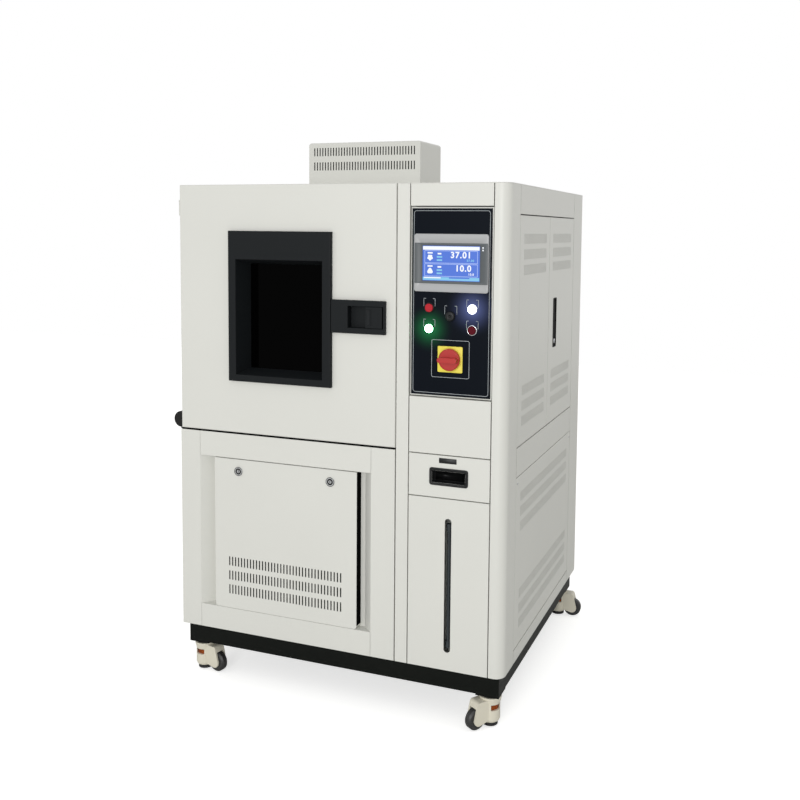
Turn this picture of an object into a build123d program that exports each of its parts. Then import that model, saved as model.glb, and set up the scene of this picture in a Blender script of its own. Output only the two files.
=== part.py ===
"""Free-standing temperature and humidity test chamber with an insulated window door.

The cabinet is folded sheet steel on a black welded base with four levelling casters.
The insulated test space is upper left, the refrigeration bay lower left, and the
control column with its water drawer and water gauge is on the right.

Millimetres, +Z up, floor at Z = 0. While the pieces are made, X = 0 is the cabinet's
left side and Y = 0 its front face. The last lines move everything so that the origin
is on the floor at the middle of the footprint.
"""

import os
from math import cos, pi, radians, sin

from build123d import *

# Cabinet
cabinet_width = 1070
cabinet_depth = 960
cabinet_height = 1400
sheet = 2.0
seam = 3.0
fold = 20.0
corner_radius = 30.0
rear_corner_radius = 8.0
seat_gap = 0.3
running_fit = 0.05

# Base frame
base_height = 60
base_inset = 15
base_rail_width = 45
cross_member_width = 40
cross_member_lift = 20
cross_member_count = 2
floor_sheet = 3.0

# Front face, from the left: chamber, centre post, control column, corner post
centre_post_width = 40
column_width = 247
front_post_width = 45
front_post_depth = 109
rear_post_depth = 141
rear_post_width = 45
post_return = 32
strip_reach = 9.5
strip_width = 20

# Heights above the cabinet's bottom edge
door_bottom = 637
bay_rail_top = 632
bay_bottom = 74
bay_top = 555
control_bottom = 795
control_top = 1334
drawer_bottom = 505
drawer_top = 630
side_door_bottom = 643
side_door_top = 1314
side_panel_bottom = 40
side_panel_top = 555

# Chamber door
door_depth = 50
door_edge_inset = 2
door_edge_radius = 4.0
gasket_depth = 10
gasket_width = 22
plug_depth = 55
plug_clearance = 8
hinge_axis_x = -6
hinge_axis_y = 18
hinge_pin_radius = 3.0
knuckle_height = 50
knuckle_proud = 30
knuckle_depth = 24
upper_knuckle_radius = 5.5
upper_knuckle_height = 42
upper_hinge_drop = 52
hinge_leaf = 4.0
hinge_leaf_length = 36
hinge_arm_height = 6.0

# Test space
test_width = 500
test_height = 540
test_left = 118.5
test_bottom = 745
rear_plenum = 65
duct_depth = 178
liner_sheet = 2.0
insulation_back = 105
shaft_hole_radius = 12
duct_slot_width = 14.0
duct_slot_length = 40.0
duct_slots = 12
shelf_height = 1000
shelf_rod = 6.0
shelf_rods = 13
shelf_runner = 14
shelf_front = 130
shelf_rear_gap = 20

# Door window
window_left = 184
window_right = 533
window_bottom = 800
window_top = 1260
window_proud = 14.0
window_side_border = 27
window_head_border = 86
window_foot_border = 21
window_taper = 14.0
window_sleeve = 5.0
window_radius = 4.0
pane = 5.0
pane_pitch = 15.0
pane_count = 3

# Latch
latch_width = 172
latch_height = 97
latch_centre_z = 1014
latch_proud = 14.0
latch_gap = 1.0
latch_pocket_left = 55
latch_pocket_width = 55
latch_pocket_height = 64
latch_pocket_depth = 26.0
latch_wall = 3.0
paddle_length = 54
paddle_thickness = 6.0
paddle_clearance = 1.0
paddle_seat_depth = 12.0
latch_pin_radius = 2.0

# Vents: one slot size all over, with wider spacing on the side and back sheets
slot_width = 4.0
slot_length = 29.0
slot_pitch = 10.75
slot_row_pitch = 45.0
side_slot_pitch = 21.5
cover_slots = 37
hood_slots = 37
side_door_slots = 13
side_panel_slots = 29
rear_slots = 15
cover_slot_top = 225
hood_slot_top = 144
door_upper_slot_top = 1245
door_lower_slot_top = 804
panel_upper_slot_top = 489
panel_lower_slot_top = 195
slot_rows = 3
hood_slot_rows = 2
hood_row_pitch = 51

# Lower cover and its bay
bay_left = 69.5
bay_right = 660
bay_strip = 40
rail_gap = 0.75
splay = 32
cover_left = 122
cover_right = 613
cover_face = 2.0
cover_radius = 8.0
cover_top_gap = 3.0
lock_radius = 13.5
lock_proud = 3.0
lock_height = 515
lock_side = 87
lock_barrel_radius = 9.0
cam_length = 33.0
cam_width = 12.0
cam_thickness = 3.0
lock_lip = 15

# Control panel and display
control_margin = 5.5
control_plate = 4.0
control_recess = 2.0
display_width = 220
display_height = 163
display_centre_z = 1176
display_proud = 5.0
display_body_width = 196
display_body_height = 142
display_body_depth = 46
display_radius = 7.0
screen_width = 170
screen_height = 98
screen_glass = 1.5
cutout_gap = 0.5

# Push buttons, buzzer and rotary mains switch
button_spacing = 128
button_upper_z = 1049
button_lower_z = 990
button_bezel_radius = 15.0
button_bezel_proud = 4.0
button_cap_radius = 11.8
button_cap_gap = 0.3
button_cap_proud = 7.0
button_stem_radius = 6.0
button_travel = 3.0
button_barrel_radius = 13.5
button_barrel_length = 40
port_centre_z = 1027
port_radius = 14.0
port_proud = 8.0
switch_centre_z = 905
switch_plate_size = 74
switch_plate_thickness = 3.0
switch_knob_radius = 31.0
switch_knob_height = 12.0
switch_grip_height = 16.0
switch_grip_width = 15.0
switch_shaft_radius = 4.0
switch_shaft_length = 40
switch_body_size = 58
switch_body_depth = 60

# Water drawer, tank and gauge
tray_wall = 2.0
tray_width = 216
tray_length = 280
tray_height = 96
drawer_shelf_length = 320
runner_width = 6.0
runner_height = 12.0
pull_width = 114
pull_height = 48
pull_centre_z = 567
pull_depth = 22
pull_rim = 5.0
pull_rim_proud = 2.0
gauge_slot_width = 20
gauge_slot_bottom = 53
gauge_slot_top = 447
gauge_tube_radius = 5.5
gauge_tube_back = 12
gauge_tube_bottom = 66
gauge_tube_top = 430
gauge_fitting_radius = 8.0
gauge_fitting_height = 20
nipple_radius = 4.0
tank_width = 190
tank_front = 60
tank_depth = 330
tank_height = 446
tank_radius = 12.0
tank_wall = 4.0
tank_cap_radius = 24
tank_cap_height = 14

# Motor cover, motor and fan
hood_left = 147
hood_width = 432
hood_lead = 10
hood_depth = 202
hood_height = 177
hood_radius = 10.0
motor_radius = 62
motor_length = 118
motor_feet = 14
motor_shaft_radius = 6.0
motor_shaft_length = 200
impeller_radius = 76
impeller_height = 48
impeller_plate = 3.0
impeller_hub_radius = 14
impeller_blades = 16
impeller_drop = 30

# Refrigeration
compressor_x = 300
compressor_y = 560
compressor_radius = 82
compressor_height = 250
compressor_feet = 30
compressor_shoulder = 34
compressor_foot_chamfer = 14
compressor_base_width = 220
compressor_base_depth = 140
compressor_base_thickness = 12
compressor_foot_spread = 184
compressor_foot_span = 104
compressor_foot_radius = 14
condenser_width = 400
condenser_height = 340
condenser_depth = 50
condenser_front = 75
condenser_base = 46
condenser_fins = 13
condenser_rows = 4
fin_thickness = 3.0
tube_width = 24.0
tube_height = 6.0
shroud_depth = 40
fan_radius = 140
fan_gap = 5.0
fan_blades = 5
fan_blade_width = 62
fan_blade_thickness = 3.0
fan_blade_pitch = 32
fan_blade_root = 6.0
fan_shaft_length = 40
fan_hub_radius = 32
fan_hub_length = 30
fan_motor_radius = 38
fan_motor_length = 60
fan_motor_gap = 6.0
fan_arm_width = 16
fan_arm_thickness = 10
evaporator_height = 260
evaporator_depth = 110
evaporator_drop = 150
evaporator_fins = 9
evaporator_rows = 3
evaporator_inset = 60
evaporator_leg_depth = 40

# Electrical plate in the control column
plate_rear_gap = 170
plate_height = 560
plate_bottom = 690
plate_front = 150
plate_standoff = 10
device_rows = 3
device_count = 5
device_depth = 62
device_height = 82

# Side doors
side_pin_setback = 5.0
side_pin_edge = 4.5
side_pin_radius = 2.5
handle_width = 22
handle_height = 150
handle_centre_z = 970
handle_from_edge = 82
handle_thickness = 6.0
handle_tray_depth = 10.0
handle_tray_wall = 2.0
handle_pin_radius = 1.5

# Levelling caster, measured in its own frame with the floor at zero
caster_height = 100
caster_inset = 50
caster_trail = 54
wheel_radius = 31.5
wheel_width = 25
wheel_edge = 5.0
wheel_hub = 11.0
axle_radius = 4.0
caster_plate = 70
caster_plate_thickness = 4.0
raceway_radius = 28
raceway_height = 6
kingpin_radius = 9.0
kingpin_length = 18
cup_radius = 29
cup_wall = 3.5
cup_bottom = 16
skirt_radius = 33
skirt_height = 20
shoulder_height = 51.5
window_height = 17
window_reach = 16
thumbwheel_radius = 23.5
thumbwheel_height = 12
thumbwheel_notches = 8
notch_radius = 2.5
foot_radius = 22.5
foot_height = 10
foot_lift = 4
screw_radius = 6.0
screw_top = 75
fork_half_width = 20
fork_boss_radius = 16
wheel_well_gap = 3.0

# Levels and lines worked out from the values above
cabinet_bottom = caster_height + base_height
top = cabinet_bottom + cabinet_height
roof_underside = top - sheet
half_seam = seam / 2
column_right = cabinet_width - front_post_width
column_left = column_right - column_width
column_centre = (column_left + column_right) / 2
chamber_width = column_left - centre_post_width
post_left = chamber_width + half_seam - 0.5
door_left = door_edge_inset
door_right = chamber_width - half_seam - 1
carcass_front = door_depth + gasket_depth
side_front = front_post_depth
side_back = cabinet_depth - rear_post_depth
side_middle = (side_front + side_back) / 2
test_back = cabinet_depth - fold - rear_plenum - insulation_back - liner_sheet - duct_depth
shelf_depth = test_back - shelf_front - shelf_rear_gap
hood_front = test_back - hood_lead
plate_width = cabinet_depth - plate_front - plate_rear_gap
wall_x = cabinet_width - fold
divider_x = chamber_width - 1
insulation_left = fold + sheet

nodes = {}


def level(height):
    """A height above the cabinet's bottom edge, as a height above the floor."""
    return cabinet_bottom + height


def block(x0, x1, y0, y1, z0, z1):
    """A box between two corners."""
    return Pos(x0, y0, z0) * Box(x1 - x0, y1 - y0, z1 - z0, align=(Align.MIN,) * 3)


def bar(radius, start, end):
    """A round bar from one point to another."""
    line = Edge.make_line(start, end)
    return extrude(Plane(start, z_dir=line % 0) * Circle(radius), line.length)


def pan(x0, x1, y0, y1, z0, z1, mouth):
    """A folded sheet pan: a shelled box that is open towards mouth, such as '+Y'."""
    body = block(x0, x1, y0, y1, z0, z1)
    axis = {"X": Axis.X, "Y": Axis.Y, "Z": Axis.Z}[mouth[1]]
    face = body.faces().sort_by(axis)[-1 if mouth[0] == "+" else 0]
    return offset(body, amount=-sheet, openings=face)


def folded(points, z0, z1):
    """An upright strip of sheet folded along a line of points, sheet on its left side."""
    profile = make_face(offset(Polyline(*points), amount=sheet, side=Side.LEFT))
    return Pos(0, 0, z0) * extrude(profile, z1 - z0)


def slots(sheet_faces, centre, pitch, count, top_row, rows, row_pitch, reach):
    """Cutters for rows of upright slots; sheet_faces is 'Y' or 'X', reach its two limits."""
    middle, thickness = (reach[0] + reach[1]) / 2, reach[1] - reach[0]
    cutters = []
    for row in range(rows):
        height = top_row - row_pitch * row
        for index in range(count):
            along = centre + pitch * (index - (count - 1) / 2)
            if sheet_faces == "Y":
                cutters.append(Pos(along, middle, height) * Box(slot_width, thickness, slot_length))
            else:
                cutters.append(Pos(middle, along, height) * Box(thickness, slot_width, slot_length))
    return cutters


def keep(name, *pieces):
    """Stores a named piece, or a group of pieces that share a node, as its solids."""
    nodes[name] = [solid for piece in pieces for solid in piece.solids()]


def caster_places():
    """Name, X, Y and heading of each caster; its wheel trails towards the heading."""
    near, far_x, far_y = caster_inset, cabinet_width - caster_inset, cabinet_depth - caster_inset
    return [
        ("front_left", near, near, -10.0),
        ("front_right", far_x, near, 235.0),
        ("rear_right", far_x, far_y, 5.0),
        ("rear_left", near, far_y, 300.0),
    ]


# Base: welded rails, cross members, floor sheet and the casters' fixed plates
def base_frame():
    x0, x1 = base_inset, cabinet_width - base_inset
    y0, y1 = base_inset, cabinet_depth - base_inset
    inner_x0, inner_x1 = x0 + base_rail_width, x1 - base_rail_width
    inner_y0, inner_y1 = y0 + base_rail_width, y1 - base_rail_width
    bottom, rail_top = caster_height, cabinet_bottom - floor_sheet
    pieces = [
        pan(x0, x1, y0, inner_y0, bottom, rail_top, "+Y"),
        pan(x0, x1, inner_y1, y1, bottom, rail_top, "-Y"),
        pan(x0, inner_x0, inner_y0, inner_y1, bottom, rail_top, "+X"),
        pan(inner_x1, x1, inner_y0, inner_y1, bottom, rail_top, "-X"),
        block(x0, x1, y0, y1, rail_top, cabinet_bottom),
    ]
    bay = (inner_x1 - inner_x0) / (cross_member_count + 1)
    half = cross_member_width / 2
    for number in range(1, cross_member_count + 1):
        x = inner_x0 + bay * number
        pieces.append(pan(x - half, x + half, inner_y0, inner_y1, bottom + cross_member_lift, rail_top, "-Z"))
    for _, x, y, _ in caster_places():
        pieces.append(caster_mounting(x, y))
    return pieces


def caster_mounting(x, y):
    """Square plate, raceway ring and kingpin, which stay still under the base."""
    half = caster_plate / 2
    plate_z = caster_height - caster_plate_thickness
    plate = block(x - half, x + half, y - half, y + half, plate_z, caster_height)
    raceway = bar(raceway_radius, (x, y, plate_z - raceway_height), (x, y, plate_z))
    kingpin = bar(kingpin_radius, (x, y, plate_z - kingpin_length), (x, y, plate_z))
    return plate + raceway + kingpin


# Outer skins: left side, back, roof, corner posts, side rails and side service panel
def left_side_panel():
    return pan(0, fold, carcass_front, cabinet_depth - fold, cabinet_bottom, roof_underside, "+X")


def rear_panel():
    x1 = cabinet_width - rear_post_width - half_seam
    y0, y1 = cabinet_depth - fold, cabinet_depth
    skin = pan(0, x1, y0, y1, cabinet_bottom, roof_underside, "-Y")
    centre = (bay_left + bay_right) / 2
    vents = slots("Y", centre, side_slot_pitch, rear_slots, level(panel_upper_slot_top),
                  slot_rows, slot_row_pitch, (y0, y1))
    return skin - vents


def top_panel():
    outline = Polyline(
        (0, carcass_front), (post_left, carcass_front), (post_left, 0), (cabinet_width, 0),
        (cabinet_width, cabinet_depth), (0, cabinet_depth), close=True,
    )
    roof = Pos(0, 0, roof_underside) * extrude(make_face(outline), sheet)
    right_edges = roof.edges().filter_by(Axis.Z).group_by(Axis.X)[-1].sort_by(Axis.Y)
    roof = fillet(right_edges[0], corner_radius)
    right_edges = roof.edges().filter_by(Axis.Z).group_by(Axis.X)[-1].sort_by(Axis.Y)
    roof = fillet(right_edges[-1], rear_corner_radius)
    return roof - bar(shaft_hole_radius, (fan_x, fan_y, roof_underside), (fan_x, fan_y, top))


def corner_post(x0, y0, x1, y1, radius, round_corner, front_return):
    """An L of sheet round the corner, with a folded return along each free edge."""
    outer = Pos((x0 + x1) / 2, (y0 + y1) / 2) * Rectangle(x1 - x0, y1 - y0)
    inner = Pos((x0 + x1) / 2, (y0 + y1) / 2) * Rectangle(x1 - x0 - 2 * sheet, y1 - y0 - 2 * sheet)
    order = 0 if round_corner == "front" else -1
    outer = fillet(outer.vertices().group_by(Axis.X)[-1].sort_by(Axis.Y)[order], radius)
    inner = fillet(inner.vertices().group_by(Axis.X)[-1].sort_by(Axis.Y)[order], radius - sheet)
    ring = outer - inner
    open_x = x1 - fold
    if round_corner == "front":
        middle = (y0 + front_return + y1) / 2
    else:
        middle = (y0 + y1 - front_return) / 2
    ring -= Pos((x0 + open_x) / 2, middle) * Rectangle(open_x - x0, y1 - y0 - front_return)
    return Pos(0, 0, cabinet_bottom) * extrude(ring, roof_underside - cabinet_bottom)


def column_strips():
    """Narrow uprights on the posts either side of the column, which its panels bolt to."""
    left, right = column_left - half_seam, column_right + half_seam
    frame_y = control_recess + control_plate
    zones = [
        (0, cabinet_bottom, level(control_bottom)),
        (frame_y, level(control_bottom), level(control_top)),
        (0, level(control_top), roof_underside),
    ]
    strips = []
    for set_back, z0, z1 in zones:
        y0 = set_back + fold + seat_gap
        strips.append(block(left, left + strip_reach, y0, y0 + sheet, z0, z1))
        strips.append(block(right - strip_reach, right, y0, y0 + sheet, z0, z1))
    return strips


def side_strips():
    """Flat bars behind the seams above and below the side service panel."""
    y0, y1 = side_front - half_seam - sheet, side_back + half_seam + sheet
    half = strip_width / 2
    return [
        block(wall_x - sheet, wall_x, y0, y1, level(seam_height) - half, level(seam_height) + half)
        for seam_height in (side_panel_bottom, side_panel_top)
    ]


def posts_and_rails():
    """Centre post, two corner posts, the rails between the side openings and fixing strips."""
    centre_post = pan(post_left, column_left - half_seam, 0, carcass_front,
                      cabinet_bottom, roof_underside, "+Y")
    front_post = corner_post(column_right + half_seam, 0, cabinet_width,
                             side_front - half_seam, corner_radius, "front", post_return)
    rear_post = corner_post(cabinet_width - rear_post_width, side_back + half_seam, cabinet_width,
                            cabinet_depth, rear_corner_radius, "rear", fold)
    y0, y1 = side_front + half_seam, side_back - half_seam
    spans = [
        (cabinet_bottom, level(side_panel_bottom) - half_seam),
        (level(side_panel_top) + half_seam, level(side_door_bottom) - half_seam),
        (level(side_door_top) + half_seam, roof_underside),
    ]
    rails = [pan(wall_x, cabinet_width, y0, y1, z0, z1, "-X") for z0, z1 in spans]
    hole = side_pin_radius + running_fit
    for _, _, pin_y in side_door_edges():
        for number, z in ((1, spans[1][1] - sheet), (2, spans[2][0])):
            rails[number] -= bar(hole, (side_pin_x, pin_y, z), (side_pin_x, pin_y, z + sheet))
    return [centre_post, front_post, rear_post, *rails, *column_strips(), *side_strips()]


def side_service_panel():
    y0, y1 = side_front + half_seam, side_back - half_seam
    z0, z1 = level(side_panel_bottom) + half_seam, level(side_panel_top) - half_seam
    skin = pan(wall_x, cabinet_width, y0, y1, z0, z1, "-X")
    vents = []
    for row in (panel_upper_slot_top, panel_lower_slot_top):
        vents += slots("X", (y0 + y1) / 2, side_slot_pitch, side_panel_slots, level(row),
                       slot_rows, slot_row_pitch, (wall_x, cabinet_width))
    return skin - vents


# Control column front: blank top strip, control frame, blank strip and gauge panel
def column_front():
    x0, x1 = column_left + half_seam, column_right - half_seam
    frame_y = control_recess + control_plate
    strip = pan(x0, x1, 0, fold, level(control_top) + half_seam, roof_underside, "+Y")
    control_frame = pan(x0, x1, frame_y, frame_y + fold, level(control_bottom) + half_seam,
                        level(control_top) - half_seam, "+Y")
    blank = pan(x0, x1, 0, fold, level(drawer_top) + half_seam, level(control_bottom) - half_seam, "+Y")
    lower = pan(x0, x1, 0, fold, cabinet_bottom, level(drawer_bottom) - half_seam, "+Y")
    slot_height = gauge_slot_top - gauge_slot_bottom
    slot = Plane.XZ * SlotOverall(slot_height, gauge_slot_width, rotation=90)
    slot = Pos(column_centre, 0, level(gauge_slot_bottom + slot_height / 2)) * extrude(slot, sheet, both=True)
    return [strip, control_frame - control_cutouts(), blank, lower - slot]


def button_places():
    left, right = column_centre - button_spacing / 2, column_centre + button_spacing / 2
    return {
        "stop_button": (left, level(button_upper_z)),
        "start_button": (left, level(button_lower_z)),
        "light_button": (right, level(button_upper_z)),
        "reset_button": (right, level(button_lower_z)),
    }


def control_cutouts():
    """Everything that is cut through both the black plate and the frame behind it."""
    y0, y1 = control_recess, control_recess + control_plate + sheet
    half_x = display_body_width / 2 + cutout_gap
    half_z = display_body_height / 2 + cutout_gap
    z = level(display_centre_z)
    cuts = [block(column_centre - half_x, column_centre + half_x, y0, y1, z - half_z, z + half_z)]
    for x, z in [*button_places().values(), (column_centre, level(port_centre_z))]:
        cuts.append(bar(button_barrel_radius + cutout_gap, (x, y0, z), (x, y1, z)))
    z = level(switch_centre_z)
    cuts.append(bar(switch_shaft_radius + cutout_gap, (column_centre, y0, z), (column_centre, y1, z)))
    return cuts


def control_panel():
    x0, x1 = column_left + control_margin, column_right - control_margin
    z0, z1 = level(control_bottom) + control_margin, level(control_top) - control_margin
    plate = block(x0, x1, control_recess, control_recess + control_plate, z0, z1)
    return plate - control_cutouts()


def touch_display():
    """Bezel and rear housing in one, with a thin glass let into the bezel."""
    front = control_recess - display_proud
    z = level(display_centre_z)
    bezel = Plane.XZ * RectangleRounded(display_width, display_height, display_radius)
    bezel = Pos(column_centre, control_recess, z) * extrude(bezel, display_proud)
    half_x, half_z = display_body_width / 2, display_body_height / 2
    housing = block(column_centre - half_x, column_centre + half_x, control_recess,
                    control_recess + display_body_depth, z - half_z, z + half_z)
    glass = block(column_centre - screen_width / 2, column_centre + screen_width / 2, front,
                  front + screen_glass, z - screen_height / 2, z + screen_height / 2)
    return [bezel + housing - glass, glass]


def panel_fittings():
    """Button bezels with their barrels, the buzzer, and the mains switch plate and body."""
    fittings = []
    face = control_recess
    bezel_front = face - button_bezel_proud
    well = button_cap_radius + button_cap_gap
    well_back = bezel_front + button_cap_proud + button_travel + 1
    barrel_back = face + button_barrel_length
    for x, z in button_places().values():
        bezel = bar(button_bezel_radius, (x, bezel_front, z), (x, face, z))
        bezel += bar(button_barrel_radius, (x, face, z), (x, barrel_back, z))
        bezel -= bar(well, (x, bezel_front, z), (x, well_back, z))
        bezel -= bar(button_stem_radius + running_fit, (x, well_back, z), (x, barrel_back, z))
        fittings.append(bezel)
    x, z = column_centre, level(port_centre_z)
    fittings.append(bar(port_radius, (x, face - port_proud, z), (x, face, z))
                    + bar(button_barrel_radius, (x, face, z), (x, barrel_back, z)))
    z = level(switch_centre_z)
    bore = switch_shaft_radius + running_fit
    half = switch_plate_size / 2
    plate = block(x - half, x + half, face - switch_plate_thickness, face, z - half, z + half)
    fittings.append(plate - bar(bore, (x, face - switch_plate_thickness, z), (x, face, z)))
    half = switch_body_size / 2
    body_front = face + control_plate + sheet
    body = block(x - half, x + half, body_front, body_front + switch_body_depth, z - half, z + half)
    fittings.append(body - bar(bore, (x, body_front, z), (x, face + switch_shaft_length + 1, z)))
    return fittings


def push_button(x, z):
    """Round cap on a stem; at rest the cap stands proud of its bezel."""
    front = control_recess - button_cap_proud
    cap_back = control_recess - button_bezel_proud + button_cap_proud
    stem_back = control_recess + button_barrel_length - button_travel - 1
    cap = bar(button_cap_radius, (x, front, z), (x, cap_back, z))
    cap = chamfer(cap.edges().group_by(Axis.Y)[0], 1.2)
    return cap + bar(button_stem_radius, (x, cap_back, z), (x, stem_back, z))


def switch_knob():
    """Round red handle with a grip bar across it, on the mains switch's shaft."""
    x, z = column_centre, level(switch_centre_z)
    back = control_recess - switch_plate_thickness - seat_gap
    front = back - switch_knob_height
    disc = bar(switch_knob_radius, (x, front, z), (x, back, z))
    disc = chamfer(disc.edges().group_by(Axis.Y)[0], 2.5)
    grip = Plane.XZ * SlotOverall(2 * switch_knob_radius - 4, switch_grip_width)
    grip = Pos(x, front, z) * extrude(grip, switch_grip_height)
    shaft = bar(switch_shaft_radius, (x, back, z), (x, control_recess + switch_shaft_length, z))
    return disc + grip + shaft


# Lower front frame round the refrigeration bay, with splayed finger recesses at its sides
def lower_front_frame():
    z0, z1 = cabinet_bottom, level(bay_rail_top)
    left_post = pan(0, bay_left, 0, carcass_front, z0, z1, "+Y")
    left_splay = folded(
        [(bay_left - 1, 0), (bay_left, 0), (bay_left + splay, splay),
         (bay_left + splay + bay_strip, splay)], level(bay_bottom), level(bay_top))
    right_post = pan(bay_right, door_right, 0, carcass_front, z0, z1, "+Y")
    right_splay = folded(
        [(bay_right - splay - bay_strip, splay), (bay_right - splay, splay), (bay_right, 0),
         (bay_right + 1, 0)], level(bay_bottom), level(bay_top))
    back = splay + sheet
    rail_points = [
        [(back, bay_bottom), (0, bay_bottom), (0, 0), (fold, 0)],
        [(carcass_front, bay_rail_top), (0, bay_rail_top), (0, bay_top), (back, bay_top)],
    ]
    rails = []
    for points in rail_points:
        line = Polyline(*[(y, level(z)) for y, z in points])
        profile = Plane.YZ * make_face(offset(line, amount=sheet, side=Side.LEFT))
        rails.append(Pos(bay_left + rail_gap, 0, 0) * extrude(profile, bay_right - bay_left - 2 * rail_gap))
    lip_x0, lip_x1 = bay_left + splay + bay_strip + rail_gap, bay_right - splay - bay_strip - rail_gap
    rails[1] += block(lip_x0, lip_x1, splay, back, level(bay_top - lock_lip), level(bay_top) + sheet)
    return [left_post + left_splay, right_post + right_splay, *rails]


def cover_vertical_limits():
    return level(bay_bottom) + seat_gap, level(bay_top) - cover_top_gap


def lower_cover():
    """Lift-off vented pan in front of the refrigeration bay."""
    z0, z1 = cover_vertical_limits()
    y1 = splay - seat_gap
    body = block(cover_left, cover_right, cover_face, y1, z0, z1)
    body = fillet(body.edges().filter_by(Axis.Y).group_by(Axis.Z)[0], cover_radius)
    skin = offset(body, amount=-sheet, openings=body.faces().sort_by(Axis.Y)[-1])
    vents = slots("Y", cover_centre, slot_pitch, cover_slots, level(cover_slot_top), slot_rows,
                  slot_row_pitch, (cover_face, cover_face + sheet))
    holes = [
        bar(lock_barrel_radius + running_fit, (x, cover_face, level(lock_height)),
            (x, cover_face + sheet, level(lock_height)))
        for x in (cover_left + lock_side, cover_right - lock_side)
    ]
    return skin - vents - holes


def cover_lock(x, cam_side):
    """Quarter-turn lock; its cam lies level at rest and turns up behind the rail's lip."""
    z = level(lock_height)
    head = bar(lock_radius, (x, cover_face - lock_proud, z), (x, cover_face, z))
    head = chamfer(head.edges().group_by(Axis.Y)[0], 0.8)
    cam_front = splay + sheet + seat_gap
    barrel = bar(lock_barrel_radius, (x, cover_face, z), (x, cam_front, z))
    half = cam_width / 2
    reach = sorted((x - cam_side * half, x + cam_side * cam_length))
    cam = block(*reach, cam_front, cam_front + cam_thickness, z - half, z + half)
    return head + barrel + cam


# Test space: liner of folded stainless sheets, duct partition, shelf and insulation slabs
def chamber_liner():
    x0, x1 = test_left, test_left + test_width
    z0, z1 = level(test_bottom), level(test_bottom + test_height)
    y0, y1 = carcass_front + sheet, test_back + duct_depth
    t = liner_sheet
    shaft = bar(shaft_hole_radius, (fan_x, fan_y, z1), (fan_x, fan_y, z1 + t))
    frame_x0, frame_x1 = fold + seat_gap, divider_x
    frame_z0, frame_z1 = level(bay_rail_top) + sheet, roof_underside
    partition = block(x0, x1, test_back, test_back + t, z0, z1)
    openings = []
    for z in (z0 + duct_slot_length, z1 - duct_slot_length):
        for index in range(duct_slots):
            x = test_left + test_width * (index + 1) / (duct_slots + 1)
            openings.append(Pos(x, test_back, z) * Box(duct_slot_width, 4 * t, duct_slot_length))
    shelf_z = level(shelf_height)
    front, back = shelf_front, shelf_front + shelf_depth
    return [
        block(x0 - t, x0, y0, y1, z0 - t, z1 + t),
        block(x1, x1 + t, y0, y1, z0 - t, z1 + t),
        block(x0, x1, y0, y1, z0 - t, z0),
        block(x0, x1, y0, y1, z1, z1 + t) - shaft,
        block(x0 - t, x1 + t, y1, y1 + t, z0 - t, z1 + t),
        block(frame_x0, x0, carcass_front, y0, frame_z0, frame_z1),
        block(x1, frame_x1, carcass_front, y0, frame_z0, frame_z1),
        block(x0, x1, carcass_front, y0, z1, frame_z1),
        block(x0, x1, carcass_front, y0, frame_z0, z0),
        partition - openings,
        block(x0, x0 + shelf_runner, front, back, shelf_z - 10, shelf_z),
        block(x1 - shelf_runner, x1, front, back, shelf_z - 10, shelf_z),
    ]


def chamber_insulation():
    t = liner_sheet
    x0, x1 = test_left - t, test_left + test_width + t
    z0, z1 = level(test_bottom) - t, level(test_bottom + test_height) + t
    y0, y1 = carcass_front + sheet, test_back + duct_depth + t
    low, high = level(bay_rail_top) + sheet, roof_underside - sheet
    shaft = bar(shaft_hole_radius, (fan_x, fan_y, z1), (fan_x, fan_y, high))
    return [
        block(insulation_left, x0, y0, y1, low, high),
        block(x1, divider_x, y0, y1, low, high),
        block(x0, x1, y0, y1, low, z0),
        block(x0, x1, y0, y1, z1, high) - shaft,
        block(insulation_left, divider_x, y1, y1 + insulation_back, low, high),
    ]


def specimen_shelf():
    """Welded rod shelf that rests on the two runners."""
    side = 1.5
    x0, x1 = test_left + side, test_left + test_width - side
    z0 = level(shelf_height)
    y0, y1 = shelf_front, shelf_front + shelf_depth
    rod = shelf_rod
    shelf = block(x0, x1, y0, y1, z0, z0 + rod) - block(x0 + rod, x1 - rod, y0 + rod, y1 - rod, z0, z0 + rod)
    for index in range(1, shelf_rods + 1):
        x = x0 + (x1 - x0) * index / (shelf_rods + 1)
        shelf += block(x - rod / 2, x + rod / 2, y0 + rod / 2, y1 - rod / 2, z0, z0 + rod)
    return shelf


# Chamber door: skin, inner pan with plug, window, gasket, hinge knuckles and latch
def window_opening():
    """The window opening at the frame's front: X and Z limits."""
    x0, x1 = window_left + window_side_border, window_right - window_side_border
    return x0, x1, level(window_bottom + window_foot_border), level(window_top - window_head_border)


def window_sleeve_box(y0, y1, grow):
    x0, x1, z0, z1 = window_opening()
    return block(x0 - grow, x1 + grow, y0, y1, z0 - grow, z1 + grow)


def door_skin():
    body = block(door_left, door_right, 0, door_depth, level(door_bottom), top)
    body = fillet(body.edges().group_by(Axis.Y)[0], door_edge_radius)
    skin = offset(body, amount=-sheet, openings=body.faces().sort_by(Axis.Y)[-1])
    x0, x1, z0, z1 = latch_cup_limits()
    return skin - window_sleeve_box(0, sheet, window_sleeve) - block(x0, x1, 0, sheet, z0, z1)


def plug_limits():
    """X and Z limits of the plug that enters the test space."""
    c = plug_clearance
    x0, x1 = test_left + c, test_left + test_width - c
    return x0, x1, level(test_bottom) + c, level(test_bottom + test_height) - c


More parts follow.
